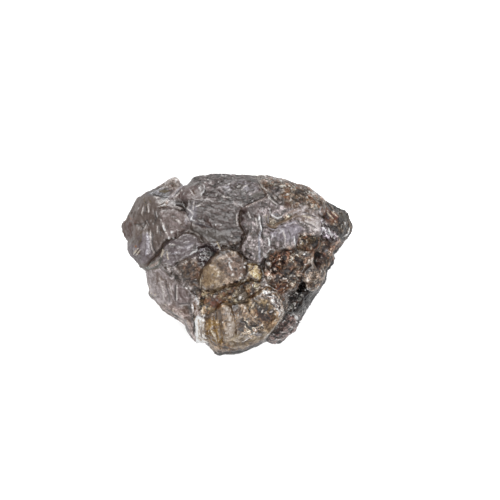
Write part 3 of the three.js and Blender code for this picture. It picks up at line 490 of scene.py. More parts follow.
# %% Strokes of the west side
STROKES += [
    # ear
    (DARK, FINE, [(-3.3, 2.9), (-3.05, 2.97), (-2.8, 3.05)]),
    (OLIVE, 0.07, [(-2.95, 2.83), (-2.65, 2.83)]),
    (DARK, 0.03, [(-3.25, 2.75), (-3.15, 2.67), (-2.95, 2.63), (-2.6, 2.6)]),
    (PALE, FINE, [(-3.2, 2.63), (-3.0, 2.57)]),
    (LILAC, 0.035, [(-2.5, 2.6), (-2.2, 2.95), (-1.95, 3.05)]),
    (PALE, FINE, [(-2.5, 2.7), (-2.27, 2.95)]),
    (PALE, FINE, [(-2.43, 2.58), (-2.18, 2.8)]),
    (SHADE, FINE, [(-2.4, 2.68), (-2.2, 2.87)]),
    # west corner
    (OLIVE, 0.03, [(-3.57, 2.6), (-3.52, 2.3)]),
    (OLIVE, 0.03, [(-3.4, 2.55), (-3.3, 2.4)]),
    (PALE, FINE, [(-3.6, 2.3), (-3.65, 1.9)]),
    (PALE, FINE, [(-3.45, 2.35), (-3.4, 2.0)]),
    (SHADE, FINE, [(-3.53, 2.3), (-3.53, 1.95)]),
    (ORANGE, 0.03, [(-4.18, 1.9), (-4.08, 1.72)]),
    (PALE, 0.03, [(-4.4, 1.6), (-4.25, 1.75)]),
    (DARK, FINE, [(-4.0, 1.6), (-3.8, 1.53), (-3.6, 1.6), (-3.45, 1.72), (-3.35, 1.5)]),
    (DARK, FINE, [(-3.7, 1.35), (-3.48, 1.62)]),
    (PALE, FINE, [(-3.6, 1.35), (-3.5, 1.52)]),
    # flank
    (LILAC, 0.07, [(-3.45, 1.2), (-3.42, 0.75), (-3.48, 0.4)]),
    (PALE, FINE, [(-3.36, 1.35), (-3.31, 0.9), (-3.27, 0.6), (-3.17, 0.47)]),
    (DARK, FINE, [(-3.28, 1.3), (-3.26, 1.0), (-3.21, 0.7), (-3.1, 0.45)]),
    (OLIVE, FINE, [(-3.8, 0.85), (-3.65, 1.0), (-3.7, 1.3)]),
    (CREAM, FINE, [(-4.0, 0.4), (-3.8, 0.66)]),
    (BROWN, FINE, [(-3.95, 0.38), (-3.76, 0.63)]),
    (CREAM, FINE, [(-3.9, 0.36), (-3.72, 0.6)]),
    (BROWN, FINE, [(-3.85, 0.35), (-3.68, 0.56)]),
    (DARK, FINE, [(-3.15, 2.1), (-3.12, 1.8), (-3.2, 1.6)]),
    (WHITE, FINE, [(-3.06, 2.08), (-3.04, 1.84)]),
    (SHADE, FINE, [(-2.95, 1.55), (-2.98, 1.3), (-2.92, 1.05)]),
    (PALE, FINE, [(-3.05, 1.5), (-3.08, 1.2)]),
    # brown groove
    ((102, 77, 61), 0.05, [
        (-3.65, -0.1), (-3.4, 0.05), (-3.33, 0.2), (-3.1, 0.36), (-2.95, 0.52), (-2.85, 0.75),
        (-2.75, 0.87)]),
    (PINK, 0.06, [(-3.35, -0.07), (-3.12, 0.06), (-3.0, 0.16)]),
    (OLIVE, FINE, [(-3.5, -0.2), (-3.0, -0.1)]),
    (DARK, FINE, [(-2.92, 0.05), (-2.9, 0.22)]),
    (CREAM, FINE, [(-2.85, 0.6), (-2.9, 0.3)]),
    (CREAM, FINE, [(-2.72, 0.52), (-2.62, 0.2)]),
    (SHADE, FINE, [(-2.78, 0.55), (-2.75, 0.3)]),
    # shoulder
    (PALE, 0.03, [(-3.0, 1.8), (-2.87, 1.75), (-2.8, 1.5), (-2.74, 1.3), (-2.65, 1.1)]),
    (WHITE, FINE, [(-2.8, 1.5), (-2.74, 1.3)]),
    (SHADE, 0.03, [(-2.72, 1.6), (-2.66, 1.35)]),
    (PALE, 0.03, [(-2.32, 1.15), (-2.25, 1.35)]),
    (PALE, 0.045, [(-2.35, 1.75), (-2.15, 1.6)]),
    (DARK, FINE, [(-2.5, 1.9), (-2.35, 1.85)]),
    ((196, 190, 194), 0.08, [(-1.95, 1.6), (-1.95, 1.76)]),
    (PALE, FINE, [(-2.0, 1.95), (-1.8, 1.7)]),
    (PALE, 0.028, [(-2.6, 2.24), (-2.3, 2.2), (-2.02, 2.04)]),
    (SHADE, 0.05, [(-2.35, 2.4), (-2.15, 2.32), (-2.03, 2.22)]),
    (DARK, FINE, [(-2.25, 2.12), (-2.1, 2.08), (-1.97, 2.02)]),
    (DARK, FINE, [(-2.15, 1.48), (-1.95, 1.42)]),
]

# %% Strokes of the north and the middle
STROKES += [
    # north
    ((90, 70, 56), 0.035, [(-1.7, 3.4), (-1.5, 3.4)]),
    ((168, 160, 158), 0.08, [(-1.4, 3.03), (-1.38, 2.75)]),
    (SHADE, FINE, [(-1.55, 3.0), (-1.4, 2.8)]),
    (SHADE, FINE, [(-1.45, 3.05), (-1.3, 2.85)]),
    (WHITE, FINE, [(-1.3, 3.05), (-1.25, 2.93), (-1.4, 2.6)]),
    (BROWN, FINE, [(-1.75, 2.9), (-1.55, 2.65)]),
    (PALE, FINE, [(-1.82, 2.88), (-1.63, 2.64)]),
    ((164, 156, 154), FINE, [(-1.7, 2.53), (-1.4, 2.5), (-0.85, 2.47)]),
    (DARK, FINE, [(-0.8, 2.5), (-0.4, 2.42), (-0.1, 2.38)]),
    ((166, 158, 157), 0.045, [(-0.85, 2.9), (-0.55, 3.0), (-0.3, 3.1), (0.0, 3.2)]),
    (DARK, FINE, [(-0.95, 3.05), (-0.8, 3.0)]),
    (DARK, FINE, [(-0.75, 3.1), (-0.5, 3.2)]),
    (DARK, FINE, [(0.05, 2.9), (0.15, 3.05)]),
    (PALE, FINE, [(0.2, 2.85), (0.3, 3.0), (0.45, 3.08)]),
    (SHADE, FINE, [(-0.6, 2.72), (-0.2, 2.66), (0.2, 2.6)]),
    (PALE, FINE, [(-0.6, 2.66), (-0.2, 2.6)]),
    # crumbled band
    ((204, 198, 196), 0.035, [(-1.85, 2.46), (-1.84, 2.3), (-1.9, 2.15), (-1.77, 2.05), (-1.7, 1.9)]),
    (WHITE, 0.028, [(-1.72, 1.86), (-1.76, 1.75), (-1.66, 1.7)]),
    (PALE, FINE, [(-1.65, 2.45), (-1.7, 2.1)]),
    (SHADE, FINE, [(-1.76, 2.4), (-1.78, 2.15)]),
    (PALE, FINE, [(-1.6, 2.25), (-1.4, 2.3)]),
    ((146, 139, 138), 0.08, [(-1.15, 2.02), (-1.0, 2.1)]),
    (DARK, FINE, [(-0.6, 2.05), (-0.35, 1.97)]),
    ((76, 67, 71), 0.05, [(-1.65, 1.6), (-1.45, 1.57), (-1.2, 1.5), (-1.0, 1.4)]),
    ((136, 128, 128), 0.03, [(-1.6, 1.72), (-1.3, 1.66), (-1.05, 1.55)]),
    # west lamella
    ((96, 76, 62), FINE, [
        (-2.75, 0.87), (-2.6, 0.95), (-2.35, 1.05), (-2.1, 1.2), (-1.7, 1.25), (-1.5, 1.1), (-1.3, 0.9)]),
    (PALE, FINE, [(-2.05, 1.28), (-1.85, 1.33), (-1.6, 1.24), (-1.4, 1.1)]),
    (SHADE, FINE, [(-2.65, 0.7), (-2.3, 0.74), (-1.95, 0.8)]),
    (PALE, FINE, [(-2.6, 0.76), (-2.3, 0.8)]),
    ((104, 93, 103), 0.035, [(-2.1, 0.6), (-1.65, 0.88)]),
    (DARK, FINE, [(-1.58, 0.82), (-1.65, 0.6), (-1.75, 0.5)]),
    ((192, 186, 192), 0.05, [(-1.9, 0.6), (-1.76, 0.7)]),
    (WHITE, FINE, [(-1.53, 0.75), (-1.6, 0.55), (-1.85, 0.38)]),
    (BROWN, FINE, [(-2.2, 0.1), (-1.9, 0.25)]),
    (LILAC, 0.035, [(-2.5, 0.45), (-2.2, 0.5)]),
    # sparkling patch
    ((58, 58, 52), 0.1, [(-1.1, 0.45), (-0.85, 0.4)]),
    ((188, 182, 190), 0.07, [(-1.4, 0.55), (-1.25, 0.62)]),
    (BLACK, FINE, [(-1.45, 0.45), (-1.2, 0.47)]),
    (PALE, FINE, [(-1.2, 0.35), (-1.05, 0.25)]),
    ((164, 144, 102), FINE, [(-0.8, 0.9), (-0.65, 0.6)]),
    (BLACK, 0.035, [(-0.1, 1.1), (0.2, 1.02)]),
    (DARK, FINE, [(-0.58, 0.66), (-0.35, 0.65), (-0.15, 0.57), (0.0, 0.5)]),
    # curved crack
    (BROWN, 0.035, [
        (0.2, 2.2), (0.15, 2.05), (0.1, 1.85), (0.1, 1.65), (0.15, 1.5), (0.25, 1.3), (0.38, 1.05)]),
    ((86, 64, 48), 0.05, [(0.33, 1.08), (0.37, 1.02)]),
    (BROWN, FINE, [(0.3, 1.0), (0.15, 0.7), (0.08, 0.55)]),
    ((162, 145, 138), 0.035, [(0.3, 2.2), (0.6, 2.32), (0.9, 2.45), (1.05, 2.5), (1.2, 2.65)]),
    (DARK, FINE, [(0.35, 2.35), (0.6, 2.42), (0.85, 2.5), (1.1, 2.6), (1.15, 2.75)]),
    ((95, 88, 80), 0.1, [(0.65, 2.64), (1.0, 2.72)]),
    (PALE, FINE, [(0.0, 1.95), (-0.02, 1.7), (0.04, 1.48)]),
]

# %% Strokes of the east side
STROKES += [
    # ribs
    ((160, 159, 169), 0.045, [(0.9, 1.3), (0.87, 1.0), (0.88, 0.55), (0.9, 0.12)]),
    (DARK, FINE, [(0.95, 1.9), (0.98, 1.55), (0.99, 1.2)]),
    (WHITE, FINE, [(0.83, 2.0), (0.88, 1.75), (0.92, 1.3)]),
    (PALE, FINE, [(0.72, 1.85), (0.78, 1.65), (0.8, 1.4)]),
    (DARK, FINE, [(0.78, 1.9), (0.83, 1.65), (0.86, 1.4)]),
    (LILAC, 0.03, [(1.2, 1.95), (1.18, 1.6)]),
    (WHITE, FINE, [(1.28, 2.15), (1.3, 1.95)]),
    ((176, 166, 158), FINE, [(0.75, 3.4), (0.85, 3.2), (1.0, 3.0), (1.2, 2.8)]),
    (PALE, FINE, [(1.2, 2.7), (1.3, 2.5), (1.55, 2.3)]),
    (DARK, FINE, [(1.26, 2.73), (1.36, 2.53), (1.58, 2.36)]),
    (SHADE, FINE, [(0.5, 2.1), (0.62, 1.9), (0.6, 1.65)]),
    (PALE, FINE, [(0.42, 2.0), (0.5, 1.8)]),
    # channel
    ((140, 117, 94), 0.06, [(1.1, 1.55), (1.25, 1.47), (1.45, 1.47), (1.7, 1.62), (2.2, 1.87)]),
    (LILAC, 0.03, [(1.2, 1.4), (1.5, 1.35), (1.8, 1.5), (2.3, 1.67)]),
    (PINK, 0.04, [(1.7, 1.87), (2.05, 2.03), (2.4, 2.17)]),
    (BROWN, 0.05, [(1.31, 1.82), (1.42, 1.77), (1.33, 1.7)]),
    ((132, 131, 140), 0.045, [(1.46, 1.95), (1.56, 1.96)]),
    (WHITE, 0.03, [(1.3, 2.0), (1.4, 1.87), (1.55, 1.79), (1.75, 1.88)]),
    (DARK, FINE, [(2.35, 1.55), (2.6, 1.4)]),
    (CREAM, 0.028, [(2.5, 1.86), (2.9, 1.8)]),
    (PALE, 0.028, [(2.6, 1.7), (2.9, 1.6), (3.1, 1.45)]),
    (SHADE, FINE, [(2.6, 1.62), (2.87, 1.52), (3.05, 1.38)]),
    (PALE, 0.028, [(2.6, 1.55), (2.85, 1.42), (3.05, 1.25)]),
    (SHADE, FINE, [(2.5, 2.0), (2.8, 1.95), (3.05, 1.82)]),
    ((206, 206, 214), 0.035, [(3.25, 2.25), (3.2, 2.05)]),
    # bowl
    (DARK, FINE, [(1.95, 1.35), (2.05, 1.1), (2.07, 0.7)]),
    (WHITE, FINE, [(1.24, 1.1), (1.25, 0.67)]),
    (DARK, FINE, [(1.3, 1.1), (1.31, 0.67)]),
    (DARK, FINE, [(1.4, 1.1), (1.65, 0.85)]),
    (WHITE, FINE, [(1.35, 1.16), (1.46, 1.02)]),
    (WHITE, FINE, [(2.2, 1.1), (2.2, 0.77)]),
    (PALE, FINE, [(1.75, 1.3), (1.85, 1.1), (1.86, 0.85)]),
    (BLACK, 0.028, [(0.3, 0.5), (0.5, 0.42), (0.7, 0.32)]),
    (PALE, FINE, [(0.35, 0.4), (0.5, 0.3)]),
    # east tip
    (CREAM, FINE, [(3.45, 2.05), (3.7, 1.75)]),
    (CREAM, FINE, [(3.6, 2.1), (3.9, 1.8)]),
    (RED_BROWN, 0.03, [(3.5, 2.13), (3.8, 1.8)]),
    (WHITE, 0.035, [(3.28, 1.65), (3.4, 1.3)]),
    (WHITE, 0.04, [(3.52, 1.43), (3.65, 1.1)]),
    (WHITE, 0.03, [(3.72, 1.1), (3.75, 1.0)]),
    (DARK, FINE, [(3.43, 1.57), (3.5, 1.3)]),
    (DARK, FINE, [(3.3, 1.3), (3.4, 1.13)]),
    ((70, 64, 52), 0.1, [(3.98, 1.93), (4.22, 1.8)]),
    (WHITE, FINE, [(4.35, 1.4), (4.25, 1.2), (4.1, 1.05)]),
]

# %% Strokes of the south side
STROKES += [
    # middle of the face
    (WHITE, FINE, [(1.15, 0.45), (1.3, 0.6), (1.45, 0.6)]),
    (BLACK, 0.04, [(0.92, -0.1), (1.0, -0.28), (1.1, -0.47)]),
    (WHITE, FINE, [(0.99, -0.2), (1.08, -0.42)]),
    (WHITE, 0.028, [(0.78, -0.45), (0.8, -0.55)]),
    ((120, 88, 48), 0.06, [(0.45, -0.35), (0.42, -0.58)]),
    (BLACK, 0.03, [(0.34, -0.1), (0.34, -0.28)]),
    (WHITE, FINE, [(-0.3, 0.1), (-0.2, -0.2)]),
    (CREAM, 0.028, [(-0.65, -0.25), (-0.75, -0.4), (-0.88, -0.44)]),
    (CREAM, FINE, [(-1.35, -0.5), (-1.37, -0.9)]),
    (BROWN, 0.035, [(-1.42, -0.45), (-1.3, -0.1), (-1.05, 0.12), (-0.85, 0.38), (-0.64, 0.58)]),
    # crust
    ((148, 143, 147), 0.08, [(3.4, 0.5), (3.52, 0.58)]),
    (BLACK, 0.09, [(3.02, 0.38), (3.2, 0.34)]),
    (BLACK, 0.045, [(3.0, 0.2), (3.04, 0.05), (3.06, -0.1)]),
    (PALE, FINE, [(2.9, 0.3), (2.86, 0.1), (2.9, -0.2)]),
    (ORANGE, 0.03, [(1.5, 0.0), (1.75, -0.15)]),
    (CREAM, FINE, [(2.0, 0.35), (2.2, 0.25)]),
    (BLACK, 0.05, [(2.35, -0.85), (2.45, -0.75)]),
    # south west
    (DARK, FINE, [(-3.42, -1.05), (-3.36, -1.15), (-3.24, -1.27)]),
    (DARK, FINE, [(-2.75, -0.25), (-2.5, -0.5)]),
    (BLACK, FINE, [(-2.42, -0.6), (-2.3, -0.4)]),
    (SHADE, FINE, [(-2.37, -0.75), (-2.36, -1.4)]),
    (PALE, FINE, [(-2.31, -0.75), (-2.3, -1.4)]),
    (DARK, FINE, [(-2.2, -1.5), (-1.85, -1.51)]),
    (PALE, FINE, [(-2.2, -1.57), (-1.9, -1.57)]),
    (DARK, FINE, [(-2.7, -1.7), (-2.5, -1.88), (-2.25, -2.05)]),
    (PALE, FINE, [(-3.0, -0.5), (-2.85, -1.0), (-2.8, -1.35)]),
    (SHADE, FINE, [(-2.75, -0.7), (-2.62, -1.2), (-2.6, -1.45)]),
    (PALE, FINE, [(-2.6, -0.7), (-2.5, -1.1)]),
    # white facet
    (BLACK, FINE, [(-1.7, -1.0), (-1.5, -1.3)]),
    (WHITE, FINE, [(-1.6, -1.2), (-1.5, -1.45), (-1.45, -1.6)]),
    (WHITE, FINE, [(-1.75, -1.45), (-1.7, -1.8)]),
    (BLACK, FINE, [(-1.81, -1.5), (-1.78, -1.8)]),
    ((140, 127, 118), 0.06, [(-1.36, -2.4), (-1.36, -2.8)]),
    ((96, 78, 64), FINE, [(-1.25, -2.2), (-1.3, -2.35)]),
    (WHITE, 0.065, [(-1.53, -2.08), (-1.52, -2.5), (-1.53, -2.98)]),
    (WHITE, 0.028, [(-1.55, -2.97), (-1.15, -2.95)]),
    (BLACK, FINE, [(-1.64, -2.1), (-1.65, -2.7)]),
    # lower lobe
    (CREAM, FINE, [(0.5, -1.65), (0.7, -1.45)]),
    (DARK, FINE, [(0.56, -1.69), (0.75, -1.5)]),
    (CREAM, 0.03, [(-1.0, -2.45), (-0.9, -2.65), (-0.8, -2.9)]),
    ((112, 86, 62), 0.08, [(-0.65, -2.4), (-0.65, -2.8)]),
    ((128, 112, 100), 0.1, [(-0.65, -1.8), (-0.65, -2.1)]),
    (DARK, FINE, [(-0.8, -1.65), (-0.8, -2.15)]),
    (BLACK, 0.04, [(0.15, -2.2), (0.35, -2.2), (0.37, -2.35), (0.6, -2.5)]),
    ((152, 144, 144), 0.08, [(0.7, -2.67), (0.9, -2.65)]),
    (PALE, 0.028, [(0.2, -2.95), (0.45, -2.8), (0.6, -2.78)]),
    ((54, 31, 18), 0.09, [(0.8, -1.83), (0.88, -1.92), (1.1, -2.1)]),
    ((202, 192, 184), 0.038, [
        (1.5, -1.25), (1.6, -1.4), (1.7, -1.6), (1.77, -1.8), (1.74, -2.0), (1.64, -2.15), (1.4, -2.45),
        (1.2, -2.65), (1.0, -2.8)]),
    (BROWN, FINE, [(1.45, -1.4), (1.6, -1.65), (1.68, -1.85)]),
    (WHITE, FINE, [(1.55, -1.7), (1.63, -1.85), (1.58, -2.0)]),
    (WHITE, 0.028, [(1.08, -0.78), (1.3, -0.86), (1.5, -0.97)]),
    (PALE, 0.028, [(1.15, -1.05), (1.5, -1.07)]),
    (PALE, 0.028, [(1.28, -1.38), (1.45, -1.5)]),
    (PALE, 0.028, [(1.25, -1.8), (1.4, -1.75)]),
    (CREAM, 0.028, [(1.4, -2.2), (1.5, -2.05)]),
    (BLACK, 0.035, [(1.1, -2.93), (1.17, -2.78), (1.38, -2.52), (1.62, -2.3)]),
    (PALE, FINE, [(-1.0, -3.2), (-0.8, -3.42)]),
    (CREAM, FINE, [(0.05, -2.0), (0.06, -1.8)]),
    # south east
    (WHITE, 0.04, [(2.2, -1.92), (2.3, -2.1)]),
    (BLACK, 0.032, [(1.84, -1.7), (1.86, -1.9)]),
    (PALE, FINE, [(1.7, -2.6), (1.9, -2.6)]),
    (BLACK, FINE, [(1.7, -2.67), (1.9, -2.66)]),
    (PALE, FINE, [(1.4, -2.9), (1.8, -2.85)]),
    (PALE, FINE, [(2.0, -2.35), (2.25, -2.45)]),
    ((92, 92, 82), 0.08, [(2.08, -1.55), (2.13, -1.68)]),
    ((92, 92, 82), 0.08, [(2.38, -1.28), (2.45, -1.34)]),
]
print(len(STROKES), "strokes")

# %% Painted shadow lines along the outline, where the stone turns away and is darkest: half width, points
RIM_LINES = [
    (0.05, [(3.7, 2.3), (3.95, 2.2), (4.22, 2.08), (4.38, 1.85), (4.5, 1.6)]),
    (0.04, [(4.5, 1.42), (4.3, 1.05), (4.1, 0.8), (3.95, 0.66), (3.75, 0.5)]),
    (0.065, [(3.75, 0.48), (3.77, 0.4), (3.83, 0.25), (3.68, 0.05), (3.5, -0.25), (3.45, -0.6), (3.25, -0.9),
             (3.05, -1.2), (2.8, -1.6), (2.6, -2.0)]),
    (0.03, [(2.6, -2.0), (2.35, -2.5), (2.0, -2.85), (1.6, -3.05)]),
    (0.035, [(-0.3, -3.5), (0.05, -3.42), (0.4, -3.3), (0.8, -3.15), (1.05, -3.0)]),
    (0.03, [(-3.2, -1.6), (-2.6, -2.2), (-2.2, -2.6), (-1.75, -3.0)]),
]

# %% Dots: colour, radius in mm, middles
# the white, cream and pale dots are painted glints, and some are frosted chips
DOTS = [
    (WHITE, 0.03, [
        (-2.4, 3.2), (-3.77, 2.17), (-0.6, 1.52), (-0.83, 1.52), (0.52, 2.7), (0.6, 2.45), (1.0, 2.1),
        (2.45, 1.65), (-1.4, 0.28), (-1.38, 0.4), (0.62, -0.3), (3.1, -0.8), (2.75, -0.9), (-1.2, -1.65),
        (-0.53, -2.23), (-0.08, -2.05), (0.06, -1.95), (-0.05, -3.17), (0.4, -3.12), (-1.2, -2.8),
        (0.6, -0.8), (2.65, -1.0), (-0.3, 3.1)]),
    (WHITE, 0.045, [
        (-2.5, 1.25), (-2.6, 1.06), (-2.44, 1.05), (0.55, -2.65), (0.66, -2.6), (0.7, -2.5), (0.95, -2.3),
        (0.25, -0.05), (0.3, 0.06), (0.06, -0.6), (0.1, -0.5), (0.2, -0.45), (2.1, -1.95), (2.25, -2.2),
        (2.4, -2.2), (4.15, 1.6), (0.3, -1.65)]),
    (WHITE, 0.08, [(1.1, 0.36), (1.19, 0.05), (-1.48, -2.0), (2.25, -2.03)]),
    (WHITE, 0.055, [(0.85, 0.05), (2.58, 0.42)]),
    (CREAM, 0.032, [
        (-3.37, -0.85), (-3.28, -1.07), (-3.32, -1.2), (-3.15, -1.15), (-0.2, 0.5), (-0.05, 0.48),
        (3.37, 1.85), (3.73, 1.55), (2.65, 0.95), (2.95, 1.05), (3.35, 0.76)]),
    (CREAM, 0.028, [
        (-2.75, -1.55), (-2.45, -1.77), (-2.13, -1.8), (-2.15, -2.1), (-1.9, -2.2), (-1.85, -2.28),
        (0.4, -0.5), (-0.7, -0.3)]),
    (PALE, 0.04, [
        (-2.75, 3.12), (-0.2, 1.1), (0.5, 0.65), (0.6, 0.95), (0.8, 0.68), (-0.6, 3.4), (-2.1, 2.85),
        (1.4, -2.7), (2.65, 0.5)]),
    ((92, 54, 45), 0.035, [
        (1.05, 3.17), (1.1, 3.05), (1.15, 2.93), (1.3, 3.0), (2.45, 2.4), (2.55, 2.42), (3.4, 2.3),
        (3.55, 2.25), (3.45, 2.45)]),
    (RED_BROWN, 0.04, [
        (-2.55, 3.07), (-2.45, 2.92), (-2.6, 2.86), (0.6, -1.3), (0.3, -1.85), (-0.78, -2.4), (-0.1, -1.65),
        (2.1, -1.2), (2.3, -1.45), (0.85, 2.9)]),
    (DARK, 0.035, [
        (-3.52, 2.4), (-3.35, 0.1), (-2.9, 0.65), (-1.3, 3.3), (-0.45, 2.85), (-0.35, 2.75), (-0.2, 2.8),
        (-0.15, 2.55), (1.5, 2.28), (-0.35, 0.25), (-0.15, 0.25), (-0.42, 0.15), (-0.93, -0.37),
        (2.6, -0.5), (-1.85, -0.9), (-2.05, -0.85), (-1.83, -1.2)]),
    (BLACK, 0.05, [(-1.4, -1.27), (-1.38, -1.6), (0.0, -0.67), (-1.42, -1.33), (2.5, -0.62)]),
    (ORANGE, 0.05, [(-3.9, 0.72), (3.5, 0.25), (-0.5, -1.1), (-0.3, -3.15), (1.8, -1.3)]),
    (BROWN, 0.05, [(-0.75, -3.48), (0.55, 1.2), (1.7, -2.4)]),
]
print(sum(len(middles) for _, _, middles in DOTS), "dots")

# %% [markdown]
# ## Which points belong to the face
# The places and strokes are drawn as seen from above, so each point of the skin has to know how much it
# belongs to the face. A stroke ends where the stone turns down. Rust creeps over an edge, so a place's
# stain and crust run down the sides in patches. Drawn outlines are also too straight for a broken stone,
# so each point is looked up a little to the side of where it is, which makes the edges wander.

# %% Read the skin's points and normals, and find the face
FACE_TURNS = (-0.1, 0.25)  # how far up the skin points where the face begins, and where it is all face
FACE_LEVELS = (1.6, 2.2)  # how high that is, in mm
RUN_DOWN = 0.55  # how much of a stain runs down from the top level to the sides
RUN_DOWN_LEVELS = (0.4, 2.4)
MOST_RUN_DOWN = 0.85

count = len(skin.data.vertices)
points = read_vectors(skin, "co")
normals = read_vectors(skin, "normal")
flat, levels, upturn = points[:, :2], points[:, 2].copy(), normals[:, 2]
upward = smoothstep(upturn, *FACE_TURNS) * smoothstep(levels, *FACE_LEVELS)
patches = layered_noise(points, (0.3, 0.8, 74), (0.2, 0.2, 75))
run_down = np.clip(RUN_DOWN * smoothstep(levels, *RUN_DOWN_LEVELS) + patches, 0, MOST_RUN_DOWN)
cover = upward + (1 - upward) * run_down
wander_x = layered_noise(points, (0.09, 0.3, 11), (0.04, 0.12, 12))
wander_y = layered_noise(points, (0.09, 0.3, 21), (0.04, 0.12, 22))
wander = np.stack([wander_x, wander_y], axis=1)
broken_edge = np.clip(0.95 + 0.5 * smooth_noise(points, 0.06, 77), 0, 1)
print("on the face:", int(upward.sum()), "of", count)

# %% How much a point belongs to a place, a stroke or a dot
STROKE_WANDER = 0.35  # strokes wander less than the places' edges
STROKE_EDGE = (0.5, 1.25)  # in half widths: where a stroke starts to fade, and where it ends
POINTED_END = 0.13  # how far from its ends a stroke narrows, in mm
END_WIDTH = 0.4  # the share of its width that is left at the very end


def points_near(drawing, margin):
    """Numbers of the points that a drawing can reach, which are the only ones worth measuring."""
    low, high = np.min(drawing, axis=0) - margin, np.max(drawing, axis=0) + margin
    return np.flatnonzero(((flat > low) & (flat < high)).all(axis=1) & (cover > 0))


def lay_over(values, near, new, share):
    """Lay a new value or colour over some points, as thickly as each point's share says."""
    if values.ndim == 2:
        share = share[:, None]
    values[near] += (new - values[near]) * share


def place_share(place, near):
    depth = inside_distance(flat[near] + wander[near], place["outline"])
    return smoothstep(depth, -place["edge"], place["edge"]) * cover[near]


def mark_share(distance, half_width, near):
    share = 1 - smoothstep(distance / half_width, *STROKE_EDGE)
    return share * upward[near] * broken_edge[near]


def stroke_share(line, half_width, near):
    spots = flat[near] + STROKE_WANDER * wander[near]
    from_end = np.min([np.linalg.norm(spots - end, axis=1) for end in (line[0], line[-1])], axis=0)
    narrowed = END_WIDTH + (1 - END_WIDTH) * smoothstep(from_end, 0, POINTED_END)
    return mark_share(line_distance(spots, line), half_width * narrowed, near)


def dot_share(middle, radius, near):
    spots = flat[near] + STROKE_WANDER * wander[near]
    return mark_share(np.linalg.norm(spots - middle, axis=1), radius, near)


# %% [markdown]
# ## The grain of a broken face
# A cleaved face of a rough diamond isn't smooth. It has fine streaks, wavy crinkles where the break
# changed its way, and small flat plates. All of them follow one direction, and each place has its own.
# Noise that is stretched along that direction gives all three.

# %% Streaks, crinkles and plates
GRAIN_BEND, BEND_SIZE = 0.12, 0.5  # the grain bends by this much over this length, in mm
STREAK_STRETCH, FOLD_STRETCH = 5, 1.8  # how much longer than wide streaks and folds are
STREAK_HIGH = 3  # how much higher than wide streaks are, so that they run on down a ledge
CRINKLES = ((0.8, 0.42), (0.7, 0.24), (0.5, 0.14))  # weight, and size in mm
PLATES = ((0.6, 0.24), (0.6, 0.12))


def local_grain(degrees, near, seed):
    """Streaks, crinkles and plates at some points, as three rows of numbers from about -1 to 1."""
    turn = math.radians(degrees)
    along = flat[near] @ (math.cos(turn), math.sin(turn))
    across = flat[near] @ (-math.sin(turn), math.cos(turn))
    across += GRAIN_BEND * smooth_noise(points[near], BEND_SIZE, seed)
    drawn_out = np.stack([along / STREAK_STRETCH, across, levels[near] / STREAK_HIGH], axis=1)
    streaks = layered_noise(drawn_out, (1, 0.07, seed + 1), (0.7, 0.035, seed + 2))
    folded = np.stack([along / FOLD_STRETCH, across, levels[near]], axis=1)
    crinkles = np.zeros(len(near))
    for weight, size in CRINKLES:
        fold = smooth_noise(folded, size, seed + 3)
        # a crest where the noise crosses nought, and a trough beside it
        crinkles += weight * (ridge(fold, 0.09) - ridge(fold - 0.2, 0.1))
    plates = np.zeros(len(near))
    for weight, size in PLATES:
        middle, neighbour, own = cell_noise(folded, size, seed + 4)
        # some plates have raised edges, and the others have sunken ones
        plate_edge = ridge(neighbour - middle, 0.12) * np.where(own > 0.45, 1, -1)
        plates += weight * (1.3 * (own - 0.5) + 0.8 * plate_edge)
    return streaks, crinkles, plates


# %% [markdown]
# ## From bare stone to the places
# Where nothing is drawn, as on the sides, the stone is a cloudy grey-brown with rusty parts that are
# crumbly too. Each place is then laid over it: its colour, its finish and its grain all at once.

# %% The bare stone, and the places over it, lowest first
BARE_GREY, BARE_BROWN = np.array((116, 104, 101)), np.array((104, 82, 66))
CLOUD_CONTRAST = 22  # of 255
BARE_DIRECTION, BARE_SEED = 30, 900
cloud = layered_noise(points, (1, 0.9, 61), (0.5, 0.35, 62))
rusty = smoothstep(layered_noise(points, (1, 1.2, 63), (0.4, 0.3, 64)), 0.1, 0.5)
everywhere = np.arange(count)
stain = BARE_GREY + CLOUD_CONTRAST * cloud[:, None]
lay_over(stain, everywhere, BARE_BROWN, 0.8 * rusty)
crumb, rust = 0.1 + 0.6 * rusty, 0.6 * rusty
grain, clear, gloss = np.full(count, 0.17), np.full(count, 0.5), np.full(count, 0.6)
fields = {"crumb": crumb, "rust": rust, "grain": grain, "clear": clear, "gloss": gloss}
streak, crinkle, plate = local_grain(BARE_DIRECTION, everywhere, BARE_SEED)
for number, drawn in enumerate(PLACES):
    near = points_near(drawn["outline"], drawn["edge"] + 0.2)
    share = place_share(drawn, near)
    lay_over(stain, near, np.array(drawn["color"]), share)
    for field, values in fields.items():
        lay_over(values, near, drawn[field], share)
    own_seed = 100 + 10 * number
    drawn_grain = local_grain(drawn["streak"], near, own_seed)
    for values, new in zip((streak, crinkle, plate), drawn_grain):
        lay_over(values, near, new, share)
print("mean colour of the face:", (stain * upward[:, None]).sum(0) / upward.sum())

# %% [markdown]
# ## Relief
# The skin's points will move along their own normals, by a height that is added up from several kinds of
# unevenness, all in millimetres. There is a little swell everywhere. Crumbly places get crumbs of two
# sizes, whose own numbers make some stand higher, and smooth ones get the streaks, crinkles and plates.

# %% Crumbs, swell and grain
CRUMB_SIZE, SMALL_CRUMB_SIZE = 0.17, 0.075
CRUMB_ROUNDNESS, CRUMB_STEPS, SMALL_CRUMB_STEPS = 0.03, 0.03, 0.02
STREAK_HEIGHT, CRINKLE_HEIGHT, PLATE_HEIGHT = 0.006, 0.006, 0.015


def say_relief(after):
    print("after", after, "the relief goes from", round(height.min(), 3), "to", round(height.max(), 3), "mm")


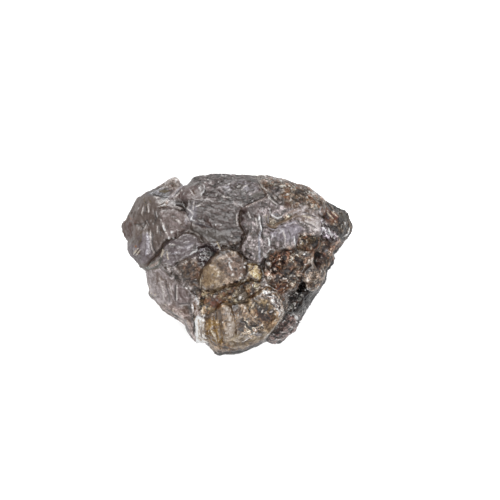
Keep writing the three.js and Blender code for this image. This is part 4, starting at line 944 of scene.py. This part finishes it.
warp = np.stack([smooth_noise(points, 0.1, seed) for seed in (5, 6, 7)], axis=1)
warped = points + 0.05 * warp  # crumbs are crooked, so the cells are too
big_middle, big_neighbour, big_own = cell_noise(warped, CRUMB_SIZE, 31)
_, _, small_own = cell_noise(warped + 0.02 * warp, SMALL_CRUMB_SIZE, 32)
height = CRUMB_ROUNDNESS * (0.6 - big_middle) + CRUMB_STEPS * (big_own - 0.5)
height = crumb * (height + SMALL_CRUMB_STEPS * (small_own - 0.5))
height += layered_noise(points, (0.012, 0.35, 8), (0.006, 0.12, 9))
height += STREAK_HEIGHT * streak * (1 - 0.7 * crumb)
height += CRINKLE_HEIGHT * crinkle * (1 - 0.4 * crumb)
height += PLATE_HEIGHT * plate * (1 - 0.6 * crumb)
say_relief("crumbs and grain")

# %% [markdown]
# ## Growth steps and etch pits
# A rough diamond often shows two marks. Growth steps run round the sides like the lines of a map, because
# the crystal grew in layers. Small three-sided hollows, all turned the same way on one face, were etched
# into it later. Here the steps are the jumps of a slow noise that is cut into whole numbers, and each
# hollow is three slopes that go down to a flat bottom.

# %% Growth steps on the sides and underneath
STEP_HEIGHT, STEP_SPACING, STEPS = 0.055, 1.1, 4
SIDE_ROUGHNESS = 1.4  # how much rougher than the face the sides are
SIDE_SWELL = 0.04
GIRDLE_LEVELS = (1.1, 1.8)  # roughness fades between these, in mm, so that the outline stays crisp
below = 1 - upward
rough_side = below * (1 - 0.85 * smoothstep(levels, *GIRDLE_LEVELS))
height *= 1 + SIDE_ROUGHNESS * rough_side
height += SIDE_SWELL * smooth_noise(points, 0.45, 72) * rough_side
growth = STEPS * smooth_noise(points, STEP_SPACING, 71)
along_step = growth - np.floor(growth)
height += STEP_HEIGHT * (smoothstep(along_step, 0, 0.12) - along_step) * rough_side
step_edge = ridge(along_step - 0.12, 0.07) * below
say_relief("growth steps")

# %% Etch pits on the sides and underneath
PIT_COUNT = 160
PIT_SIDES = (0.14, 0.42)
PIT_SLOPE, PIT_DEPTH = 0.6, 0.05
PIT_RIM = 0.025
SAME_FACE = 0.95  # a pit stays on points that face nearly the same way as its middle
corners = np.radians((90, 210, 330))
toward_corners = np.array([np.cos(corners), np.sin(corners)])
random = np.random.default_rng(41)
pit_rim = np.zeros(count)
for index in random.choice(np.flatnonzero(below > 0.9), PIT_COUNT):
    middle, out = points[index], normals[index]
    across = np.cross(out, (0, 0, 1.0))
    if np.linalg.norm(across) < 0.1:
        across = np.array((1.0, 0, 0))
    across /= np.linalg.norm(across)
    up = np.cross(out, across)
    side = random.uniform(*PIT_SIDES)
    offset = points - middle
    near = np.flatnonzero((np.abs(offset) < side).all(axis=1) & (normals @ out > SAME_FACE))
    spot = np.stack([offset[near] @ across, offset[near] @ up], axis=1)
    depth = side / 3 - np.max(spot @ toward_corners, axis=1)
    height[near] -= np.clip(PIT_SLOPE * depth, 0, PIT_DEPTH)
    pit_rim[near] += ridge(depth, PIT_RIM)
say_relief("etch pits")

# %% [markdown]
# ## Colour follows the relief
# Up close no crumb has the colour of its neighbour: some are clear, some rusty, some nearly black. So the
# relief's own numbers also tint the stain, and paint light and shade into it. Two things keep it from
# looking like paint. What is lighter than its place is mostly painted shine, and shine has no brown in it.
# What is darker turns warm: darker crumbs, and painted shade in creases and troughs.

# %% Tint the crumbs
RUST = np.array([(120, 92, 68), (58, 42, 32), (150, 84, 44), (44, 38, 34), (142, 126, 108), (98, 82, 68),
                 (172, 160, 142), (120, 66, 36), (126, 112, 100), (74, 56, 44)])
SHINE_TINT = np.array(CREAM) / np.mean(CREAM)


def tint_crumbs(stain, own, share):
    """Give each crumb its own tint. Darker ones keep the place's colour; lighter ones turn cream, as painted
    shine.
    """
    tints = RUST / RUST.mean(axis=0)
    tint = 1 + (tints[(own * len(RUST)).astype(int)] - 1) * share[:, None]
    cream = SHINE_TINT * stain.mean(axis=1)[:, None]
    return stain * np.minimum(tint, 1) + cream * np.maximum(tint - 1, 0)


stain = tint_crumbs(stain, big_own, 0.8 * rust)
stain = tint_crumbs(stain, small_own, 0.6 * rust)

# %% Painted shade and highlights on the crumbs, the grain, the growth steps and the pits' rims
CONTRAST = 3.9  # how much a place's grain changes its brightness
SHADE_RANGE = (0.3, 2.0)
SHINE_SHARE = 0.8  # part of what brightens is shine
SHADOW_WARMTH = np.array((0.75, 1.0, 1.3))  # red fades more slowly than blue
# painted shade in the creases between the big crumbs
CREASE_WIDTH, CREASE_SHADE = 0.12, 0.35
# the white chips are partly frosted chips and partly painted glints
CHIPS_AND_GLINTS_FROM = 0.97  # small crumbs whose own number is above this are white chips
CHIP_AND_GLINT_WHITE = np.array((225, 222, 218))
# crumbs' own tones, and painted light and shade on crinkles, plate edges, step edges and pit rims
shade = 0.8 * (big_own - 0.5) + (small_own - 0.5) + 0.5 * smooth_noise(points, 0.2, 14)
shade += 0.4 * streak * (1 - crumb) + 0.2 * crinkle * (1 - 0.6 * crumb) + 0.8 * plate * (1 - 0.7 * crumb)
shade += 0.7 * step_edge + 0.7 * np.minimum(pit_rim, 1)
crease = smoothstep(CREASE_WIDTH - (big_neighbour - big_middle), 0, CREASE_WIDTH) * crumb
factor = np.clip((1 + CONTRAST * grain * shade) * (1 - CREASE_SHADE * crease), *SHADE_RANGE)
# what is lighter turns to neutral painted shine, and what is darker turns warm
brighter = np.maximum(factor - 1, 0)[:, None]
stain *= np.minimum(factor, 1)[:, None] ** SHADOW_WARMTH + (1 - SHINE_SHARE) * brighter
stain += SHINE_SHARE * brighter * stain.mean(axis=1)[:, None]
chips_and_glints = np.flatnonzero((small_own > CHIPS_AND_GLINTS_FROM) & (crumb > 0.25))
lay_over(stain, chips_and_glints, CHIP_AND_GLINT_WHITE, np.full(len(chips_and_glints), 0.75))
gloss[chips_and_glints] = 0.8
print(len(chips_and_glints), "points on white chips")

# %% [markdown]
# ## Draw the strokes and dots on the skin
# A mark's brightness says what it is. A dark one is a crack, a hole or a painted shadow, so it is cut in
# and dull. A light one is a painted highlight, a glint or a frosted chip, so it stands out and shines.

# %% Cut the dark marks in and raise the light ones
MARK_HEIGHT = 0.07  # of a white mark over a black one, in mm
LEVEL_BRIGHTNESS = 120  # a mark this bright is neither cut nor raised
LIGHT_GLOSS, DARK_GLOSS = 0.85, 0.2
MARK_CALM = 0.6  # how much less speckled the skin is under a mark


def lay_mark(color, share, near):
    brightness = np.mean(color)
    height[near] += MARK_HEIGHT * (brightness - LEVEL_BRIGHTNESS) / 255 * share
    lay_over(stain, near, np.array(color), share)
    lay_over(gloss, near, LIGHT_GLOSS if brightness > LEVEL_BRIGHTNESS else DARK_GLOSS, share)
    grain[near] *= 1 - MARK_CALM * share


for color, half_width, line in STROKES:
    near = points_near(line, 2 * half_width + 0.1)
    lay_mark(color, stroke_share(line, half_width, near), near)
for color, radius, middles in DOTS:
    for middle in middles:
        near = points_near([middle], 2 * radius + 0.1)
        lay_mark(color, dot_share(middle, radius, near), near)
say_relief("strokes and dots")

# %% Painted shade on the rim, where the stone turns away from the light
RIM_LEVELS = (1.5, 1.8, 2.9, 3.3)  # where the rim's shade starts, is full, is still full and ends, in mm
RIM_SHADE, RIM_LINE_SHADE = 0.4, 0.85
above_rim = np.flatnonzero(levels > RIM_LEVELS[0])
for half_width, line in RIM_LINES:
    reach = line_distance(flat[above_rim], line)
    share = 1 - smoothstep(reach, 0.6 * half_width, 1.3 * half_width)
    lay_over(stain, above_rim, np.array(BLACK), RIM_LINE_SHADE * share)
    lay_over(gloss, above_rim, 0, 0.5 * share)
# painted shade on the steep skin near the rim, between these levels
rim = smoothstep(upturn, -0.05, 0.08) * (1 - smoothstep(upturn, 0.1, 0.45))
rim *= smoothstep(levels, *RIM_LEVELS[:2]) * (1 - smoothstep(levels, *RIM_LEVELS[2:]))
stain *= 1 - RIM_SHADE * rim[:, None]

# %% Move the points, and bring the skin back to its real size
NET_SHRINKS = 0.02  # the net lies this far inside the solid's edges, in mm
low, high = np.array(cad_low) / MM, np.array(cad_high) / MM
points = np.clip(points + normals * (height + NET_SHRINKS)[:, None], low, high)
skin.data.vertices.foreach_set("co", (points * MM).ravel())
print("skin, in mm:", np.round(points.max(axis=0) - points.min(axis=0), 2))

# %% Write the stain and the finish on the points
DARKEST, PALEST = 12, 250  # no part of the stone is quite black or quite white
CLEARNESS = 0.5  # even a clear place sends half of the light back
LIGHT_ON_FACE = 2.2  # the lamps make white this much brighter than white, so stains are stored darker


def screen_to_linear(color):
    c = color / 255
    return np.where(c <= 0.04045, c / 12.92, ((c + 0.055) / 1.055) ** 2.4)


def store(name, values):
    layer = skin.data.attributes.new(name, "FLOAT", "POINT")
    layer.data.foreach_set("value", values.astype(np.float32))


stain_layer = skin.data.color_attributes.new("stain", "FLOAT_COLOR", "POINT")
rgba = np.ones((count, 4))
rgba[:, :3] = screen_to_linear(np.clip(stain, DARKEST, PALEST)) / LIGHT_ON_FACE
stain_layer.data.foreach_set("color", rgba.ravel())
store("clear", clear * CLEARNESS)
store("gloss", gloss)
store("grain", grain)
skin.data.update()
for polygon in skin.data.polygons:
    polygon.use_smooth = True
print("written on the points:", [layer.name for layer in skin.data.attributes])

# %% [markdown]
# ## The lustre of rough diamond
# Diamond bends light more than anything else that is common, with an index of refraction of 2.42, so a
# clean face mirrors a sixth of the light that falls straight on it. This one is bruised all over and
# mirrors much less. The inside is full of tiny fractures, so the stone is only partly see-through: a
# share of the light comes back from the surface with the stain's colour, and the rest goes in. Both
# shares come from what was written on the points. Fine noise breaks the shine up between the points.

# %% Small helpers for the material's nodes
def attribute(nodes, name):
    node = nodes.new("ShaderNodeAttribute")
    node.attribute_name = name
    return node


def spread(nodes, links, value, low, high):
    """A value from 0 to 1, spread from low to high."""
    node = nodes.new("ShaderNodeMapRange")
    node.inputs["To Min"].default_value = low
    node.inputs["To Max"].default_value = high
    links.new(value, node.inputs["Value"])
    return node.outputs["Result"]


def calculate(nodes, links, operation, first, second):
    node = nodes.new("ShaderNodeMath")
    node.operation = operation
    links.new(first, node.inputs[0])
    if isinstance(second, (int, float)):
        node.inputs[1].default_value = second
    else:
        links.new(second, node.inputs[1])
    return node.outputs["Value"]


# %% Specks: a crystal's fine glitter, painted into the stain as highlights and shade
SPECK_SIZE = 0.042 * MM
SPECK_CONTRAST, FINE_CONTRAST = 2.2, 5
SPECK_SHINE = 0.8  # most of a bright speck is shine, without the stain's colour
DARKEST_SPECK = 0.25


def speckled_stain(nodes, links, where, fine):
    """The stain with specks: darker ones paint shade into it, and lighter ones add a painted neutral shine.
    """
    specks = nodes.new("ShaderNodeTexVoronoi")
    specks.inputs["Scale"].default_value = 1 / SPECK_SIZE
    links.new(where, specks.inputs["Vector"])
    channels = nodes.new("ShaderNodeSeparateColor")
    links.new(specks.outputs["Color"], channels.inputs["Color"])
    speck_shade = spread(nodes, links, channels.outputs["Red"], -SPECK_CONTRAST, SPECK_CONTRAST)
    fine_shade = spread(nodes, links, fine, -FINE_CONTRAST, FINE_CONTRAST)
    shade = calculate(nodes, links, "ADD", speck_shade, fine_shade)
    shade = calculate(nodes, links, "MULTIPLY", shade, attribute(nodes, "grain").outputs["Fac"])
    shade = calculate(nodes, links, "ADD", shade, 1.0)
    shade = calculate(nodes, links, "MAXIMUM", shade, DARKEST_SPECK)
    darker = calculate(nodes, links, "MINIMUM", shade, 1.0)
    lighter = calculate(nodes, links, "SUBTRACT", shade, darker)
    stain_here = attribute(nodes, "stain").outputs["Vector"]
    grey = nodes.new("ShaderNodeVectorMath")
    grey.operation = "DOT_PRODUCT"
    grey.inputs[1].default_value = (SPECK_SHINE / 3,) * 3
    links.new(stain_here, grey.inputs[0])
    shine = calculate(nodes, links, "MULTIPLY", lighter, grey.outputs["Value"])
    colored = calculate(nodes, links, "MULTIPLY", lighter, 1 - SPECK_SHINE)
    shade = calculate(nodes, links, "ADD", darker, colored)
    color = nodes.new("ShaderNodeVectorMath")
    color.operation = "MULTIPLY_ADD"
    links.new(stain_here, color.inputs[0])
    links.new(shade, color.inputs[1])
    links.new(shine, color.inputs[2])
    return color.outputs["Vector"]


# %% Diamond
DIAMOND_IOR = 2.42
FACE_MIRROR = 0.05  # 0.5 would be a clean face
DULL, SHINY = 0.5, 0.1  # roughness without and with full gloss
FINE_SCALE = 11000  # waves in a metre, so each is under a tenth of a millimetre
INSIDE_COLOR = (0.55, 0.42, 0.3, 1)
INSIDE_DENSITY = 2500  # a millimetre lets through a third of the red light and a sixth of the blue
BUMP_HEIGHT = 0.02 * MM


def diamond_material():
    material = bpy.data.materials.new("rough_diamond")
    material.use_nodes = True
    nodes, links = material.node_tree.nodes, material.node_tree.links
    bsdf = nodes["Principled BSDF"]
    bsdf.inputs["IOR"].default_value = DIAMOND_IOR
    bsdf.inputs["Specular IOR Level"].default_value = FACE_MIRROR
    where = nodes.new("ShaderNodeTexCoord").outputs["Object"]

    fine = nodes.new("ShaderNodeTexNoise")
    fine.inputs["Scale"].default_value = FINE_SCALE
    fine.inputs["Detail"].default_value = 4
    fine.inputs["Roughness"].default_value = 0.7
    links.new(where, fine.inputs["Vector"])
    links.new(speckled_stain(nodes, links, where, fine.outputs["Fac"]), bsdf.inputs["Base Color"])

    dullness = spread(nodes, links, attribute(nodes, "gloss").outputs["Fac"], DULL, SHINY)
    links.new(dullness, bsdf.inputs["Roughness"])
    links.new(attribute(nodes, "clear").outputs["Fac"], bsdf.inputs["Transmission Weight"])

    inside = nodes.new("ShaderNodeVolumeAbsorption")
    inside.inputs["Color"].default_value = INSIDE_COLOR
    inside.inputs["Density"].default_value = INSIDE_DENSITY
    links.new(inside.outputs["Volume"], nodes["Material Output"].inputs["Volume"])

    bump = nodes.new("ShaderNodeBump")
    bump.inputs["Strength"].default_value = 0.5
    bump.inputs["Distance"].default_value = BUMP_HEIGHT
    links.new(fine.outputs["Fac"], bump.inputs["Height"])
    links.new(bump.outputs["Normal"], bsdf.inputs["Normal"])
    return material


skin.data.materials.clear()
skin.data.materials.append(diamond_material())
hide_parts("rough_diamond")
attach(skin, "root")
print("material:", skin.data.materials[0].name, "with", len(skin.data.materials[0].node_tree.nodes), "nodes")

# %% [markdown]
# ## A pale table and soft light
# The stone lies on its back on a white table, and the camera looks straight down on its face. The light
# is that of a white tent: it comes from all round, a little stronger from the upper left, so edges glint
# but no shadow is hard.

# %% Table
TABLE_SIZE = 0.6


def table():
    bpy.ops.mesh.primitive_plane_add(size=TABLE_SIZE, location=(0, 0, cad_low.z))
    plane = bpy.context.object
    plane.name = "table"
    material = bpy.data.materials.new("white_table")
    material.use_nodes = True
    bsdf = material.node_tree.nodes["Principled BSDF"]
    bsdf.inputs["Base Color"].default_value = (0.95, 0.95, 0.95, 1)
    bsdf.inputs["Roughness"].default_value = 0.9
    bsdf.inputs["Specular IOR Level"].default_value = 0.2
    plane.data.materials.append(material)


table()

# %% Lights
LIT_SPOT = Vector((0, 0, 0.002))


def softbox(name, middle, size, power):
    light = bpy.data.lights.new(name, "AREA")
    light.shape = "SQUARE"
    light.size = size
    light.energy = power
    lamp = bpy.data.objects.new(name, light)
    lamp.location = middle
    lamp.rotation_euler = (LIT_SPOT - lamp.location).to_track_quat("-Z", "Y").to_euler()
    bpy.context.scene.collection.objects.link(lamp)


softbox("key_light", middle=(-0.09, 0.12, 0.24), size=0.16, power=0.95)
softbox("side_light", middle=(0.17, 0.03, 0.2), size=0.12, power=0.48)
softbox("low_light", middle=(-0.03, -0.17, 0.2), size=0.12, power=0.4)

world = bpy.data.worlds.new("tent")
world.use_nodes = True
world.node_tree.nodes["Background"].inputs["Color"].default_value = (1, 1, 1, 1)
world.node_tree.nodes["Background"].inputs["Strength"].default_value = 0.3
bpy.context.scene.world = world

# %% Camera, straight above the face, through a long lens
PICTURE_WIDTH = 19.39 * MM  # what the picture's width covers at the stone's widest level
WIDEST_LEVEL = 2.6 * MM
CAMERA_HEIGHT = 0.15
LOOK_AT = (0.504 * MM, 0.572 * MM)
SENSOR_WIDTH = 36  # in mm, as for the lens
camera_data = bpy.data.cameras.new("camera")
camera_data.sensor_width = SENSOR_WIDTH
camera_data.lens = SENSOR_WIDTH * (CAMERA_HEIGHT - WIDEST_LEVEL) / PICTURE_WIDTH
print("lens:", round(camera_data.lens), "mm")
camera_data.clip_start = 0.01
camera_data.clip_end = 10
camera = bpy.data.objects.new("camera", camera_data)
camera.location = (*LOOK_AT, CAMERA_HEIGHT)
bpy.context.scene.collection.objects.link(camera)
bpy.context.scene.camera = camera
bpy.context.scene.view_settings.view_transform = "Standard"
